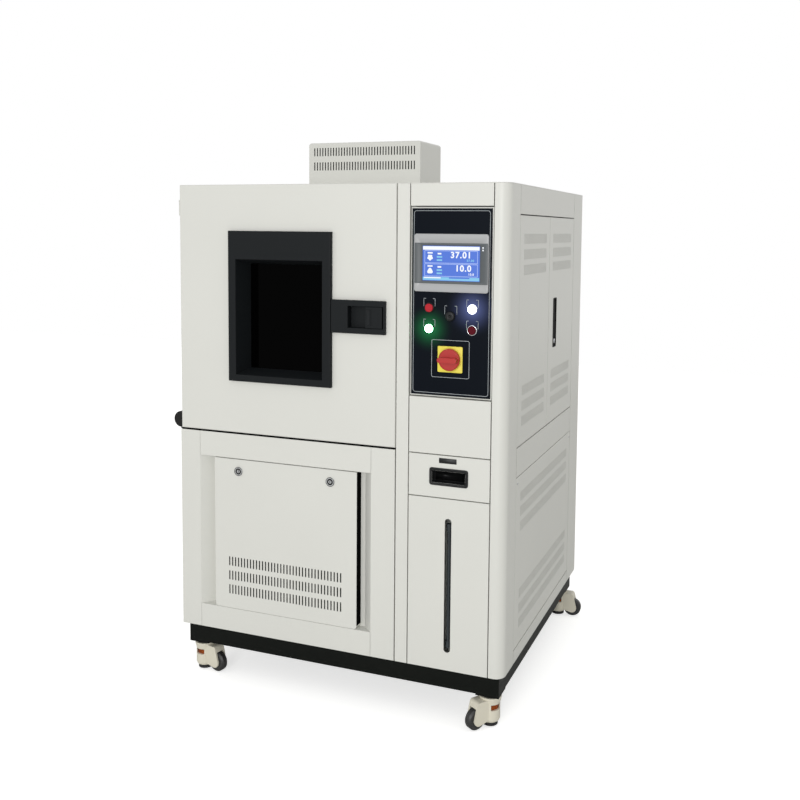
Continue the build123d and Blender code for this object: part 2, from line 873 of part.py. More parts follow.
def door_inner_pan():
    x0, x1, z0, z1 = plug_limits()
    flange_y = door_depth - sheet
    flange = block(door_left + sheet, door_right - sheet, flange_y, door_depth,
                   level(door_bottom) + sheet, top - sheet)
    plug = block(x0, x1, flange_y, door_depth + plug_depth, z0, z1)
    hollow = block(x0 + sheet, x1 - sheet, flange_y, door_depth + plug_depth - sheet, z0 + sheet, z1 - sheet)
    return flange + plug - hollow - window_sleeve_box(0, door_depth + plug_depth, window_sleeve)


def window_frame():
    """Moulded surround with a splayed reveal, and a sleeve through the whole door."""
    x0, x1, z0, z1 = window_opening()
    surround = block(window_left, window_right, -window_proud, 0, level(window_bottom), level(window_top))
    surround = fillet(surround.edges().group_by(Axis.Y)[0], window_radius)
    sleeve = window_sleeve_box(0, door_depth + plug_depth, window_sleeve)
    t = window_taper
    mouth = Plane.XZ.offset(window_proud) * Pos((x0 + x1) / 2, (z0 + z1) / 2) * Rectangle(x1 - x0, z1 - z0)
    throat = Plane.XZ.offset(-door_depth) * Pos((x0 + x1) / 2, (z0 + z1) / 2) * Rectangle(
        x1 - x0 - 2 * t, z1 - z0 - 2 * t)
    reveal = loft([mouth, throat])
    straight = block(x0 + t, x1 - t, door_depth, door_depth + plug_depth, z0 + t, z1 - t)
    return surround + sleeve - reveal - straight


def window_glass():
    x0, x1, z0, z1 = window_opening()
    t = window_taper
    first = door_depth + 3
    return [
        block(x0 + t, x1 - t, first + pane_pitch * n, first + pane_pitch * n + pane, z0 + t, z1 - t)
        for n in range(pane_count)
    ]


def door_gasket():
    """Rubber seal round the plug, just clear of the carcass when the door is shut."""
    x0, x1, z0, z1 = plug_limits()
    w = gasket_width
    y0, y1 = door_depth, carcass_front - seat_gap
    grow = plug_clearance + w
    outer = block(x0 - grow, x1 + grow, y0, y1, z0 - grow, z1 + grow)
    outer = fillet(outer.edges().filter_by(Axis.Y), w)
    return outer - block(x0 - plug_clearance, x1 + plug_clearance, y0, y1, z0 - plug_clearance, z1 + plug_clearance)


def hinge_knuckles():
    """Lower knuckle with a rounded cap, and a slim upper knuckle, on plates on the door's edge."""
    bore = hinge_pin_radius + running_fit
    x, y = hinge_axis_x, hinge_axis_y
    z0 = level(door_bottom)
    z1 = z0 + knuckle_height
    middle = (z0 + z1) / 2
    dome = Polyline((door_left, z0), (-10, z0)) + ThreePointArc((-10, z0), (-knuckle_proud, middle), (-7, z1))
    dome = dome + Line((-7, z1), (door_left, z1)) + Line((door_left, z1), (door_left, z0))
    dome = Plane.XZ * make_face(dome)
    lower = Pos(0, y + knuckle_depth / 2, 0) * extrude(dome, knuckle_depth)
    lower -= bar(bore, (x, y, z0), (x, y, z1 - hinge_leaf))
    high1 = top - upper_hinge_drop
    high0 = high1 - upper_knuckle_height
    upper = bar(upper_knuckle_radius, (x, y, high0), (x, y, high1))
    upper += block(x, door_left, y, y + hinge_leaf, high0, high1)
    upper += block(door_left - 1.5, door_left, y - 8, door_depth - 4, high0, high1)
    upper -= bar(bore, (x, y, high0 + hinge_leaf), (x, y, high1))
    return [lower, upper]


def hinge_brackets():
    """Fixed leaf, arm and pin of each hinge, on the cabinet's left side."""
    x, y = hinge_axis_x, hinge_axis_y
    arm_tip = x - hinge_pin_radius - 3
    leaf_y1 = carcass_front + hinge_leaf_length
    arm1 = level(door_bottom) - seat_gap
    arm0 = arm1 - hinge_arm_height
    lower = block(arm_tip, 0, y, carcass_front, arm0, arm1) + bar(x - arm_tip, (x, y, arm0), (x, y, arm1))
    lower += block(-hinge_leaf, 0, carcass_front - 1, leaf_y1, arm0 - hinge_leaf_length, arm1)
    lower += bar(hinge_pin_radius, (x, y, arm1), (x, y, arm1 + knuckle_height - 2 * hinge_leaf))
    arm0 = top - upper_hinge_drop + seat_gap
    arm1 = arm0 + hinge_arm_height
    upper = block(arm_tip, 0, y, carcass_front, arm0, arm1) + bar(x - arm_tip, (x, y, arm0), (x, y, arm1))
    upper += block(-hinge_leaf, 0, carcass_front - 1, leaf_y1, arm0, arm1 + hinge_leaf_length)
    upper += bar(hinge_pin_radius, (x, y, arm0 - upper_knuckle_height + 2 * hinge_leaf), (x, y, arm0))
    return [lower, upper]


latch_x0 = window_right + latch_gap
latch_x1 = latch_x0 + latch_width
pocket_x0 = latch_x0 + latch_pocket_left
pocket_x1 = pocket_x0 + latch_pocket_width
paddle_x1 = pocket_x1 + paddle_clearance + paddle_length
paddle_axis_x = paddle_x1 - 4
paddle_front = -latch_proud + paddle_clearance
paddle_axis_y = paddle_front + paddle_thickness / 2


def latch_cup_limits():
    half = latch_pocket_height / 2 + latch_wall
    z = level(latch_centre_z)
    return pocket_x0 - latch_wall, pocket_x1 + latch_wall, z - half, z + half


def latch_housing():
    """Moulded escutcheon with a finger pocket and a seat for the paddle beside it."""
    z = level(latch_centre_z)
    half = latch_height / 2
    body = block(latch_x0, latch_x1, -latch_proud, 0, z - half, z + half)
    body = fillet(body.edges().group_by(Axis.Y)[0], 2.5)
    x0, x1, z0, z1 = latch_cup_limits()
    cup_back = latch_pocket_depth - latch_proud
    body += block(x0, x1, 0, cup_back + latch_wall, z0, z1)
    pocket_half = latch_pocket_height / 2
    body -= block(pocket_x0, pocket_x1, -latch_proud, cup_back, z - pocket_half, z + pocket_half)
    seat_x1 = paddle_axis_x + 7
    body -= block(pocket_x1, seat_x1, -latch_proud, paddle_seat_depth - latch_proud,
                  z - pocket_half, z + pocket_half)
    bore = latch_pin_radius + running_fit
    reach = pocket_half + 5
    return body - bar(bore, (paddle_axis_x, paddle_axis_y, z - reach), (paddle_axis_x, paddle_axis_y, z + reach))


def latch_paddle():
    """Pull paddle with its pin; its left end is drawn out of the housing."""
    z = level(latch_centre_z)
    half = latch_pocket_height / 2 - paddle_clearance
    x0 = pocket_x1 + paddle_clearance
    paddle = block(x0, paddle_axis_x, paddle_front, paddle_front + paddle_thickness, z - half, z + half)
    radius = paddle_thickness / 2
    paddle += bar(radius, (paddle_axis_x, paddle_axis_y, z - half), (paddle_axis_x, paddle_axis_y, z + half))
    paddle -= bar(14, (x0 + 12, paddle_front - 11.5, z - half + 8), (x0 + 12, paddle_front - 11.5, z + half - 8))
    reach = latch_pocket_height / 2 + 4
    return paddle + bar(latch_pin_radius, (paddle_axis_x, paddle_axis_y, z - reach),
                        (paddle_axis_x, paddle_axis_y, z + reach))


# Side doors on hidden pins, and the flush handle on the rear one
side_pin_x = cabinet_width - side_pin_setback


def side_door_edges():
    """Front edge, back edge and pin position of the two side doors."""
    return [
        (side_front + half_seam, side_middle - half_seam, side_front + half_seam + side_pin_edge),
        (side_middle + half_seam, side_back - half_seam, side_back - half_seam - side_pin_edge),
    ]


def side_door(y0, y1, pin_y):
    z0, z1 = level(side_door_bottom) + half_seam, level(side_door_top) - half_seam
    door = pan(wall_x, cabinet_width, y0, y1, z0, z1, "-X")
    reach = seam + sheet - seat_gap
    door += bar(side_pin_radius, (side_pin_x, pin_y, z0 - reach), (side_pin_x, pin_y, z0))
    door += bar(side_pin_radius, (side_pin_x, pin_y, z1), (side_pin_x, pin_y, z1 + reach))
    vents = []
    for row in (door_upper_slot_top, door_lower_slot_top):
        vents += slots("X", (y0 + y1) / 2, side_slot_pitch, side_door_slots, level(row),
                       slot_rows, slot_row_pitch, (cabinet_width - sheet, cabinet_width))
    return door - vents


def handle_frame():
    """Centre line and limits of the flush handle on the rear side door."""
    y = side_middle + half_seam + handle_from_edge
    z = level(handle_centre_z)
    return y, z, handle_width / 2, handle_height / 2


def handle_axis():
    y, z, _, half_z = handle_frame()
    return cabinet_width - handle_thickness / 2, y, z + half_z - handle_thickness


def side_door_rear(y0, y1, pin_y):
    """The rear side door with the tray that holds the flush handle."""
    y, z, half_y, half_z = handle_frame()
    gap, wall = 1.0, handle_tray_wall
    hy, hz = half_y + gap, half_z + gap
    x0 = cabinet_width - handle_tray_depth
    hole = block(x0, cabinet_width, y - hy, y + hy, z - hz, z + hz)
    tray = block(x0 - wall, cabinet_width, y - hy - wall, y + hy + wall, z - hz - wall, z + hz + wall)
    door = side_door(y0, y1, pin_y) + tray - hole
    ax, ay, az = handle_axis()
    reach = hy + wall - 0.5
    return door - bar(handle_pin_radius + running_fit, (ax, ay - reach, az), (ax, ay + reach, az))


def side_handle():
    y, z, half_y, half_z = handle_frame()
    x0 = cabinet_width - handle_thickness
    lever = block(x0, cabinet_width, y - half_y, y + half_y, z - half_z, z + half_z)
    lever = fillet(lever.edges().filter_by(Axis.Y).group_by(Axis.Z)[-1], handle_thickness / 2 - 0.2)
    ax, ay, az = handle_axis()
    reach = half_y + 1 + handle_tray_wall - 1
    return lever + bar(handle_pin_radius, (ax, ay - reach, az), (ax, ay + reach, az))


# Water drawer with its recessed pull, tank and level gauge
def water_drawer():
    x0, x1 = column_left + half_seam, column_right - half_seam
    front = pan(x0, x1, 0, fold, level(drawer_bottom) + half_seam, level(drawer_top) - half_seam, "+Y")
    half_x, half_z = pull_width / 2, pull_height / 2
    z = level(pull_centre_z)
    cup_x, cup_z = half_x - pull_rim, half_z - pull_rim
    front -= block(column_centre - cup_x, column_centre + cup_x, 0, sheet, z - cup_z, z + cup_z)
    tray_x0, tray_x1 = column_centre - tray_width / 2, column_centre + tray_width / 2
    tray_z0 = tray_bottom
    tray_y0 = pull_depth + 4
    w = tray_wall
    tray = block(tray_x0, tray_x1, tray_y0, tray_y0 + tray_length, tray_z0, tray_z0 + tray_height)
    tray -= block(tray_x0 + w, tray_x1 - w, tray_y0 + w, tray_y0 + tray_length - w,
                  tray_z0 + w, tray_z0 + tray_height)
    for side_x in (tray_x0, tray_x1 - w):
        tray += block(side_x, side_x + w, sheet, tray_y0, tray_z0, tray_z0 + tray_height)
    rim = Plane.XZ * RectangleRounded(pull_width, pull_height, 6)
    rim = Pos(column_centre, 0, z) * extrude(rim, pull_rim_proud)
    cup = block(column_centre - cup_x, column_centre + cup_x, 0, pull_depth, z - cup_z, z + cup_z)
    inside = block(column_centre - cup_x + w, column_centre + cup_x - w, -pull_rim_proud, pull_depth - w,
                   z - cup_z + w, z + cup_z - w)
    return [front + tray, rim + cup - inside]


tray_bottom = level(drawer_bottom) + half_seam + sheet + seat_gap


def inner_frame():
    """Machine deck, divider wall, and the drawer's shelf with its two runners."""
    gap = seat_gap
    back = cabinet_depth - fold - sheet - gap
    deck = block(sheet + gap, divider_x, carcass_front + sheet, back, level(bay_rail_top),
                 level(bay_rail_top) + sheet)
    divider = block(divider_x, divider_x + sheet, carcass_front + sheet, back, cabinet_bottom, roof_underside)
    shelf_z = tray_bottom - gap
    shelf_y0 = fold + sheet + 2 * gap
    shelf_x0, shelf_x1 = column_left + half_seam, column_right - half_seam
    shelf = block(shelf_x0, shelf_x1, shelf_y0, shelf_y0 + drawer_shelf_length, shelf_z - sheet, shelf_z)
    shelf += block(divider_x + sheet, shelf_x0, carcass_front + 2 * sheet,
                   shelf_y0 + drawer_shelf_length, shelf_z - sheet, shelf_z)
    half = tray_width / 2 + gap
    for x0 in (column_centre - half - runner_width, column_centre + half):
        shelf += block(x0, x0 + runner_width, shelf_y0, shelf_y0 + drawer_shelf_length,
                       shelf_z, shelf_z + runner_height)
    return [deck, divider, shelf]


def water_tank():
    """Open tank with a lid on top, and a screw cap on the lid."""
    half = tank_width / 2
    x, y, lid_z = column_centre, tank_front + tank_depth / 2, level(tank_height)
    body = block(x - half, x + half, tank_front, tank_front + tank_depth, cabinet_bottom, lid_z)
    body = fillet(body.edges().filter_by(Axis.Z), tank_radius)
    tank = offset(body, amount=-tank_wall, openings=body.faces().sort_by(Axis.Z)[-1])
    lid = extrude(body.faces().sort_by(Axis.Z)[-1], tank_wall)
    lid_top = lid_z + tank_wall
    cap = bar(tank_cap_radius, (x, y, lid_top), (x, y, lid_top + tank_cap_height))
    return [tank, lid + cap]


def sight_tube():
    """Gauge glass between two fittings, each on a nipple from the tank's front."""
    x, y = column_centre, gauge_tube_back
    low, high = level(gauge_tube_bottom), level(gauge_tube_top)
    gauge = bar(gauge_tube_radius, (x, y, low), (x, y, high))
    for z in (low, high - gauge_fitting_height):
        gauge += bar(gauge_fitting_radius, (x, y, z), (x, y, z + gauge_fitting_height))
        middle = z + gauge_fitting_height / 2
        gauge += bar(nipple_radius, (x, y, middle), (x, tank_front, middle))
    return gauge


# Circulation motor, its roof cover and the fan in the air duct
fan_x = hood_left + hood_width / 2
fan_y = hood_front + hood_depth / 2


def motor_cover():
    body = block(hood_left, hood_left + hood_width, hood_front, hood_front + hood_depth, top, top + hood_height)
    body = fillet(body.edges().group_by(Axis.Z)[-1], hood_radius)
    skin = offset(body, amount=-sheet, openings=body.faces().sort_by(Axis.Z)[0])
    return skin - slots("Y", fan_x, slot_pitch, hood_slots, top + hood_slot_top, hood_slot_rows,
                        hood_row_pitch, (hood_front, hood_front + sheet))


def circulation_motor():
    """Motor can on a foot flange, with a bore for the fan's shaft."""
    flange = bar(motor_radius + 14, (fan_x, fan_y, top), (fan_x, fan_y, top + motor_feet))
    can = bar(motor_radius, (fan_x, fan_y, top + motor_feet), (fan_x, fan_y, top + motor_feet + motor_length))
    can = chamfer(can.edges().group_by(Axis.Z)[-1], 9)
    bore_top = top + motor_feet + motor_length / 2
    return flange + can - bar(motor_shaft_radius + running_fit, (fan_x, fan_y, top), (fan_x, fan_y, bore_top))


def circulation_impeller():
    """Centrifugal wheel of curved-in blades between a disc and a rim, on the motor's shaft."""
    disc_top = level(test_bottom + test_height) - impeller_drop
    disc_bottom = disc_top - impeller_plate
    rim_bottom = disc_top - impeller_height
    shaft_top = top + motor_feet + motor_length / 2 - 1
    wheel = bar(impeller_radius, (fan_x, fan_y, disc_bottom), (fan_x, fan_y, disc_top))
    rim = bar(impeller_radius, (fan_x, fan_y, rim_bottom), (fan_x, fan_y, rim_bottom + impeller_plate))
    rim -= bar(impeller_radius - 16, (fan_x, fan_y, rim_bottom), (fan_x, fan_y, rim_bottom + impeller_plate))
    blade = Box(18, 2, disc_bottom - rim_bottom, align=(Align.CENTER, Align.CENTER, Align.MIN))
    for turn in range(impeller_blades):
        spoke = Rot(0, 0, 360 / impeller_blades * turn) * Pos(impeller_radius - 10, 0, 0) * Rot(0, 0, 30)
        wheel += Pos(fan_x, fan_y, rim_bottom) * spoke * blade
    wheel += rim
    wheel += bar(impeller_hub_radius, (fan_x, fan_y, disc_bottom - 18), (fan_x, fan_y, disc_bottom))
    return wheel + bar(motor_shaft_radius, (fan_x, fan_y, disc_top), (fan_x, fan_y, shaft_top))


# Refrigeration: compressor, condenser with fan shroud and motor, and evaporator in the duct
def finned_coil(x0, x1, y0, y1, z0, z1, fins, rows):
    """Upright fins on level flat tubes that run right across."""
    coil = None
    for index in range(fins):
        x = x0 + (x1 - x0 - fin_thickness) * index / (fins - 1)
        fin = block(x, x + fin_thickness, y0, y1, z0, z1)
        coil = fin if coil is None else coil + fin
    y = (y0 + y1) / 2
    for row in range(rows):
        z = z0 + (z1 - z0) * (row + 0.5) / rows
        coil += block(x0, x1, y - tube_width / 2, y + tube_width / 2, z - tube_height / 2, z + tube_height / 2)
    return coil


bay_centre = (bay_left + bay_right) / 2
cover_centre = (cover_left + cover_right) / 2
condenser_back = condenser_front + condenser_depth
condenser_z0 = cabinet_bottom + condenser_base
fan_centre_z = condenser_z0 + condenser_height / 2
shroud_back = condenser_back + shroud_depth
condenser_fan_y = condenser_back + shroud_depth / 2


def refrigeration_unit():
    x, y = compressor_x, compressor_y
    floor = cabinet_bottom
    can = bar(compressor_radius, (x, y, floor + compressor_feet), (x, y, floor + compressor_height))
    can = chamfer(can.edges().group_by(Axis.Z)[-1], compressor_shoulder)
    can = chamfer(can.edges().group_by(Axis.Z)[0], compressor_foot_chamfer)
    base = Pos(x, y, floor + compressor_feet) * Box(
        compressor_base_width, compressor_base_depth, compressor_base_thickness)
    for foot_x in (x - compressor_foot_spread / 2, x + compressor_foot_spread / 2):
        for foot_y in (y - compressor_foot_span / 2, y + compressor_foot_span / 2):
            base += bar(compressor_foot_radius, (foot_x, foot_y, floor), (foot_x, foot_y, floor + compressor_feet))
    x0, x1 = bay_centre - condenser_width / 2, bay_centre + condenser_width / 2
    z0, z1 = condenser_z0, condenser_z0 + condenser_height
    coil = finned_coil(x0, x1, condenser_front, condenser_back, z0, z1, condenser_fins, condenser_rows)
    shroud = block(x0, x1, condenser_back, shroud_back, z0, z1)
    shroud = offset(shroud, amount=-sheet, openings=shroud.faces().sort_by(Axis.Y)[0])
    ring = (bay_centre, shroud_back - sheet, fan_centre_z), (bay_centre, shroud_back, fan_centre_z)
    shroud -= bar(fan_radius + fan_gap, *ring)
    stand = block(x0, x1, condenser_front, shroud_back, floor, z0)
    stand -= block(x0 + sheet, x1 - sheet, condenser_front, shroud_back, floor, z0 - sheet)
    motor_y = condenser_fan_y + fan_hub_length / 2 + fan_motor_gap
    motor = bar(fan_motor_radius, (bay_centre, motor_y + sheet, fan_centre_z),
                (bay_centre, motor_y + fan_motor_length, fan_centre_z))
    arm_y = shroud_back
    for turn in (-1, 1):
        motor += block(bay_centre - fan_arm_width / 2, bay_centre + fan_arm_width / 2, arm_y,
                       arm_y + fan_arm_thickness, *sorted(
                           (fan_centre_z, fan_centre_z + turn * (condenser_height / 2))))
    bore = motor_shaft_radius + running_fit
    motor -= bar(bore, (bay_centre, arm_y, fan_centre_z), (bay_centre, motor_y + fan_shaft_length, fan_centre_z))
    ex0, ex1 = test_left + evaporator_inset, test_left + test_width - evaporator_inset
    ey = fan_y
    ez1 = level(test_bottom + test_height) - evaporator_drop
    coil_in_duct = finned_coil(ex0, ex1, ey - evaporator_depth / 2, ey + evaporator_depth / 2,
                               ez1 - evaporator_height, ez1, evaporator_fins, evaporator_rows)
    legs_z = level(test_bottom)
    for leg_x in (ex0, ex1 - fin_thickness):
        coil_in_duct += block(leg_x, leg_x + fin_thickness, ey - evaporator_leg_depth / 2,
                              ey + evaporator_leg_depth / 2, legs_z, ez1 - evaporator_height)
    return [can + base, coil, shroud + stand, motor, coil_in_duct]


def condenser_fan():
    """Five pitched blades on a hub, with the shaft that runs in the fan motor."""
    y = condenser_fan_y
    half = fan_hub_length / 2
    fan = bar(fan_hub_radius, (bay_centre, y - half, fan_centre_z), (bay_centre, y + half, fan_centre_z))
    span = fan_radius - fan_hub_radius + fan_blade_root
    blade = Pos(fan_hub_radius - fan_blade_root + span / 2, 0, 0) * Rot(fan_blade_pitch, 0, 0) * Box(
        span, fan_blade_thickness, fan_blade_width)
    for turn in range(fan_blades):
        fan += Pos(bay_centre, y, fan_centre_z) * Rot(0, 360 / fan_blades * turn, 0) * blade
    shaft_end = y + half + fan_shaft_length
    return fan + bar(motor_shaft_radius, (bay_centre, y + half, fan_centre_z), (bay_centre, shaft_end, fan_centre_z))


def electrical_plate():
    """Mounting plate on standoffs from the divider wall, with rows of switchgear."""
    x0 = divider_x + sheet
    plate_x = x0 + plate_standoff
    y0, y1 = plate_front, plate_front + plate_width
    z0, z1 = level(plate_bottom), level(plate_bottom + plate_height)
    plate = block(plate_x, plate_x + sheet, y0, y1, z0, z1)
    for y in (y0 + 30, y1 - 30):
        for z in (z0 + 30, z1 - 30):
            plate += bar(7, (x0, y, z), (plate_x, y, z))
    face = plate_x + sheet
    for row in range(device_rows):
        z = z0 + plate_height * (row + 0.5) / device_rows
        plate += block(face, face + 8, y0 + 20, y1 - 20, z - 17, z + 17)
        for index in range(device_count - row):
            width = 62 + 22 * row
            y = y0 + 60 + (width + 26) * index
            plate += block(face + 8, face + device_depth, y, y + width, z - device_height / 2, z + device_height / 2)
    return plate


# Levelling casters: housing with fork, wheel, thumbwheel and screw foot
def caster_housing():
    """Cast cup with a window on each side for the thumbwheel, a skirt on top and a fork for the wheel."""
    skirt_top = caster_height - caster_plate_thickness - raceway_height - seat_gap
    skirt_bottom = skirt_top - skirt_height
    section = Polyline(
        (0, cup_bottom), (cup_radius - 3, cup_bottom), (cup_radius, cup_bottom + 6),
        (cup_radius, skirt_bottom), (skirt_radius, skirt_top - 5), (skirt_radius, skirt_top),
        (0, skirt_top), close=True,
    )
    cup = revolve(Plane.XZ * make_face(section), Axis.Z)
    fork = make_hull(
        (Pos(caster_trail, wheel_radius) * Circle(fork_boss_radius)).edges()
        + (Pos(6, shoulder_height + 22) * Circle(11)).edges()
        + (Pos(10, cup_bottom + 20) * Circle(10)).edges()
        + (Pos(caster_trail - 4, skirt_bottom + 4) * Circle(10)).edges()
    )
    fork = extrude(Plane.XZ * fork, fork_half_width, both=True)
    cavity_top = shoulder_height + thumbwheel_height + 8
    cavity = bar(cup_radius - cup_wall, (0, 0, shoulder_height), (0, 0, cavity_top))
    well = bar(wheel_radius + wheel_well_gap, (caster_trail, -wheel_width / 2 - 1.5, wheel_radius),
               (caster_trail, wheel_width / 2 + 1.5, wheel_radius))
    lower = bar(screw_radius + 6, (0, 0, cup_bottom), (0, 0, shoulder_height))
    view = block(-window_reach, window_reach, -cup_radius - 1, cup_radius + 1,
                 shoulder_height, shoulder_height + window_height)
    screw = bar(screw_radius + running_fit, (0, 0, cavity_top), (0, 0, screw_top + 1))
    pin_bottom = caster_height - caster_plate_thickness - kingpin_length
    kingpin = bar(kingpin_radius + running_fit, (0, 0, pin_bottom - seat_gap), (0, 0, skirt_top))
    housing = cup + fork - cavity - well - lower - view - screw - kingpin
    axle = bar(axle_radius, (caster_trail, -fork_half_width, wheel_radius), (caster_trail, fork_half_width, wheel_radius))
    return housing + axle


def caster_wheel():
    """Solid wheel with a bevelled tread and a hub that nearly fills the fork."""
    half, hub = wheel_width / 2, wheel_width / 2 + 1.5 - seat_gap
    bore = axle_radius + running_fit
    section = Polyline(
        (bore, -hub), (wheel_hub, -hub), (wheel_hub, -half), (wheel_radius - wheel_edge, -half),
        (wheel_radius, -half + wheel_edge), (wheel_radius, half - wheel_edge),
        (wheel_radius - wheel_edge, half), (wheel_hub, half), (wheel_hub, hub), (bore, hub), close=True,
    )
    wheel = revolve(Plane.XZ * make_face(section), Axis.Z)
    return Pos(caster_trail, 0, wheel_radius) * Rot(90, 0, 0) * wheel


def caster_thumbwheel():
    z0 = shoulder_height + seat_gap
    wheel = bar(thumbwheel_radius, (0, 0, z0), (0, 0, z0 + thumbwheel_height))
    for turn in range(thumbwheel_notches):
        angle = 2 * pi * turn / thumbwheel_notches
        x, y = thumbwheel_radius * cos(angle), thumbwheel_radius * sin(angle)
        wheel -= bar(notch_radius, (x, y, z0), (x, y, z0 + thumbwheel_height))
    return wheel - bar(screw_radius + running_fit, (0, 0, z0), (0, 0, z0 + thumbwheel_height))


def levelling_foot():
    pad = bar(foot_radius, (0, 0, foot_lift), (0, 0, foot_lift + foot_height))
    pad = chamfer(pad.edges().group_by(Axis.Z)[-1], 2)
    return pad + bar(screw_radius, (0, 0, foot_lift + foot_height), (0, 0, screw_top))


# Assembly
keep("base_frame", *base_frame())
keep("left_side_panel", left_side_panel())
keep("rear_panel", rear_panel())
keep("top_panel", top_panel())
keep("posts_and_rails", *posts_and_rails())
keep("side_service_panel", side_service_panel())
keep("column_front", *column_front())
keep("control_panel", control_panel())
keep("touch_display", *touch_display())
keep("panel_fittings", *panel_fittings())
for button_name, (button_x, button_z) in button_places().items():
    keep(button_name, push_button(button_x, button_z))
keep("switch_knob", switch_knob())
keep("lower_front_frame", *lower_front_frame())
keep("lower_cover", lower_cover())
keep("cover_lock_left", cover_lock(cover_left + lock_side, 1))
keep("cover_lock_right", cover_lock(cover_right - lock_side, -1))
keep("chamber_liner", *chamber_liner())
keep("chamber_insulation", *chamber_insulation())
keep("specimen_shelf", specimen_shelf())
keep("door_skin", door_skin())
keep("door_inner_pan", door_inner_pan())
keep("window_frame", window_frame())
keep("window_glass", *window_glass())
keep("door_gasket", door_gasket())
keep("hinge_knuckles", *hinge_knuckles())
keep("hinge_brackets", *hinge_brackets())
keep("latch_housing", latch_housing())
keep("latch_paddle", latch_paddle())
front_door, rear_door = side_door_edges()
keep("side_door_front", side_door(*front_door))
keep("side_door_rear", side_door_rear(*rear_door))
keep("side_handle", side_handle())
keep("water_drawer", *water_drawer())
keep("inner_frame", *inner_frame())
keep("water_tank", *water_tank())
keep("sight_tube", sight_tube())
keep("motor_cover", motor_cover())
keep("circulation_motor", circulation_motor())
keep("circulation_impeller", circulation_impeller())
keep("refrigeration_unit", *refrigeration_unit())
keep("condenser_fan", condenser_fan())
keep("electrical_plate", electrical_plate())
caster_pieces = {
    "caster_housing": caster_housing(),
    "caster_wheel": caster_wheel(),
    "caster_thumbwheel": caster_thumbwheel(),
    "levelling_foot": levelling_foot(),
}
for corner, caster_x, caster_y, heading in caster_places():
    place = Pos(caster_x, caster_y, 0) * Rot(0, 0, heading)
    for piece_name, piece in caster_pieces.items():
        keep(f"{piece_name}_{corner}", place * piece)

# The footprint's middle: the cabinet's width, and its depth with the switch knob in front
knob_front = control_recess - switch_plate_thickness - seat_gap - switch_knob_height - switch_grip_height
origin = Pos(-cabinet_width / 2, -(cabinet_depth + knob_front) / 2, 0)

os.makedirs("parts", exist_ok=True)
for name, solids in nodes.items():
    export_step(Compound([origin * solid for solid in solids]), f"parts/{name}.step")
print(len(nodes), "nodes written")
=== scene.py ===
"""Looks of a free-standing temperature and humidity test chamber, dressed on its solids.

Lengths called mm below are measured on the cabinet: x from its left side, y back from its
front face, z up from the lower edge of its sheet metal. Blender itself works in metres.
"""

import bmesh
import bpy
import numpy as np
from mathutils import Matrix, Vector


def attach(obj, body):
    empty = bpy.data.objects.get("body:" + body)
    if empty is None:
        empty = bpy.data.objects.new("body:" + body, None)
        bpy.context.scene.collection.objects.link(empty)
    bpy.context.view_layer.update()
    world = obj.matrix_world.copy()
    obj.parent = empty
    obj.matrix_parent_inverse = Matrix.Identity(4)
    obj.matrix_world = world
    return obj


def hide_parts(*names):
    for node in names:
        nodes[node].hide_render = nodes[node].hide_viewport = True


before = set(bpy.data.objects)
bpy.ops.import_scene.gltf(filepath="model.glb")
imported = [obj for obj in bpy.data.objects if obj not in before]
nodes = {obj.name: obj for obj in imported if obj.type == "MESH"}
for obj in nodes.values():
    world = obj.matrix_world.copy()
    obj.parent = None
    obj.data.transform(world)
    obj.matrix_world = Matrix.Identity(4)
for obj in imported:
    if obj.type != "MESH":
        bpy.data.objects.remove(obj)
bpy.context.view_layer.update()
scene = bpy.context.scene

# The camera stands to the right of the machine at chest height, as the photographer did.
# Its place, turn and lens were worked out from the cabinet's corners.
CABINET_ORIGIN = np.array([-0.535, -0.46535, 0.160])
IMAGE_SIZE = 800
FOCAL_LENGTH = 941.9
VIEW_CENTRE = (430.0, 304.8)
SENSOR_MM = 36.0
CAMERA_TURN = (20.77, 4.48, 0.56)
CAMERA_PLACE = (1780, -2479, 1265)


def at(x, y, z):
    """Turns cabinet millimetres into the model's metres; works on numbers and arrays."""
    x, y, z = np.broadcast_arrays(np.asarray(x, float), np.asarray(y, float), np.asarray(z, float))
    return np.stack([x, y, z], axis=-1) / 1000 + CABINET_ORIGIN


def aim_camera(azimuth, elevation, roll, place):
    """Camera axes from its bearing: right and up are turned by the roll about the line of sight."""
    back = Vector((np.sin(azimuth) * np.cos(elevation), -np.cos(azimuth) * np.cos(elevation),
                   np.sin(elevation)))
    right = (-back).cross(Vector((0, 0, 1))).normalized()
    up = right.cross(-back)
    turned_right = np.cos(roll) * right + np.sin(roll) * up
    turned_up = np.cos(roll) * up - np.sin(roll) * right
    matrix = Matrix((turned_right, turned_up, back)).transposed().to_4x4()
    matrix.translation = Vector(place)
    return matrix


camera_data = bpy.data.cameras.new("camera")
camera_data.sensor_width = SENSOR_MM
camera_data.lens = FOCAL_LENGTH / IMAGE_SIZE * SENSOR_MM
camera_data.shift_x = (IMAGE_SIZE / 2 - VIEW_CENTRE[0]) / IMAGE_SIZE
camera_data.shift_y = (VIEW_CENTRE[1] - IMAGE_SIZE / 2) / IMAGE_SIZE
camera = bpy.data.objects.new("camera", camera_data)
scene.collection.objects.link(camera)
camera.matrix_world = aim_camera(*np.radians(CAMERA_TURN), at(*CAMERA_PLACE))
scene.camera = camera

# The studio: a white floor, an even pale sky that the camera and mirrors see as white, and
# one large lamp in front, so that the right side falls into a mild shade.
SKY_LEVEL = 0.66
FLOOR_LIFT = 0.62


def to_linear(hex_colour):
    """sRGB hex to linear light, by the sRGB transfer curve, with full opacity."""
    values = np.array([int(hex_colour[i:i + 2], 16) for i in (1, 3, 5)]) / 255
    linear = np.where(values <= 0.04045, values / 12.92, ((values + 0.055) / 1.055) ** 2.4)
    return (*linear, 1.0)


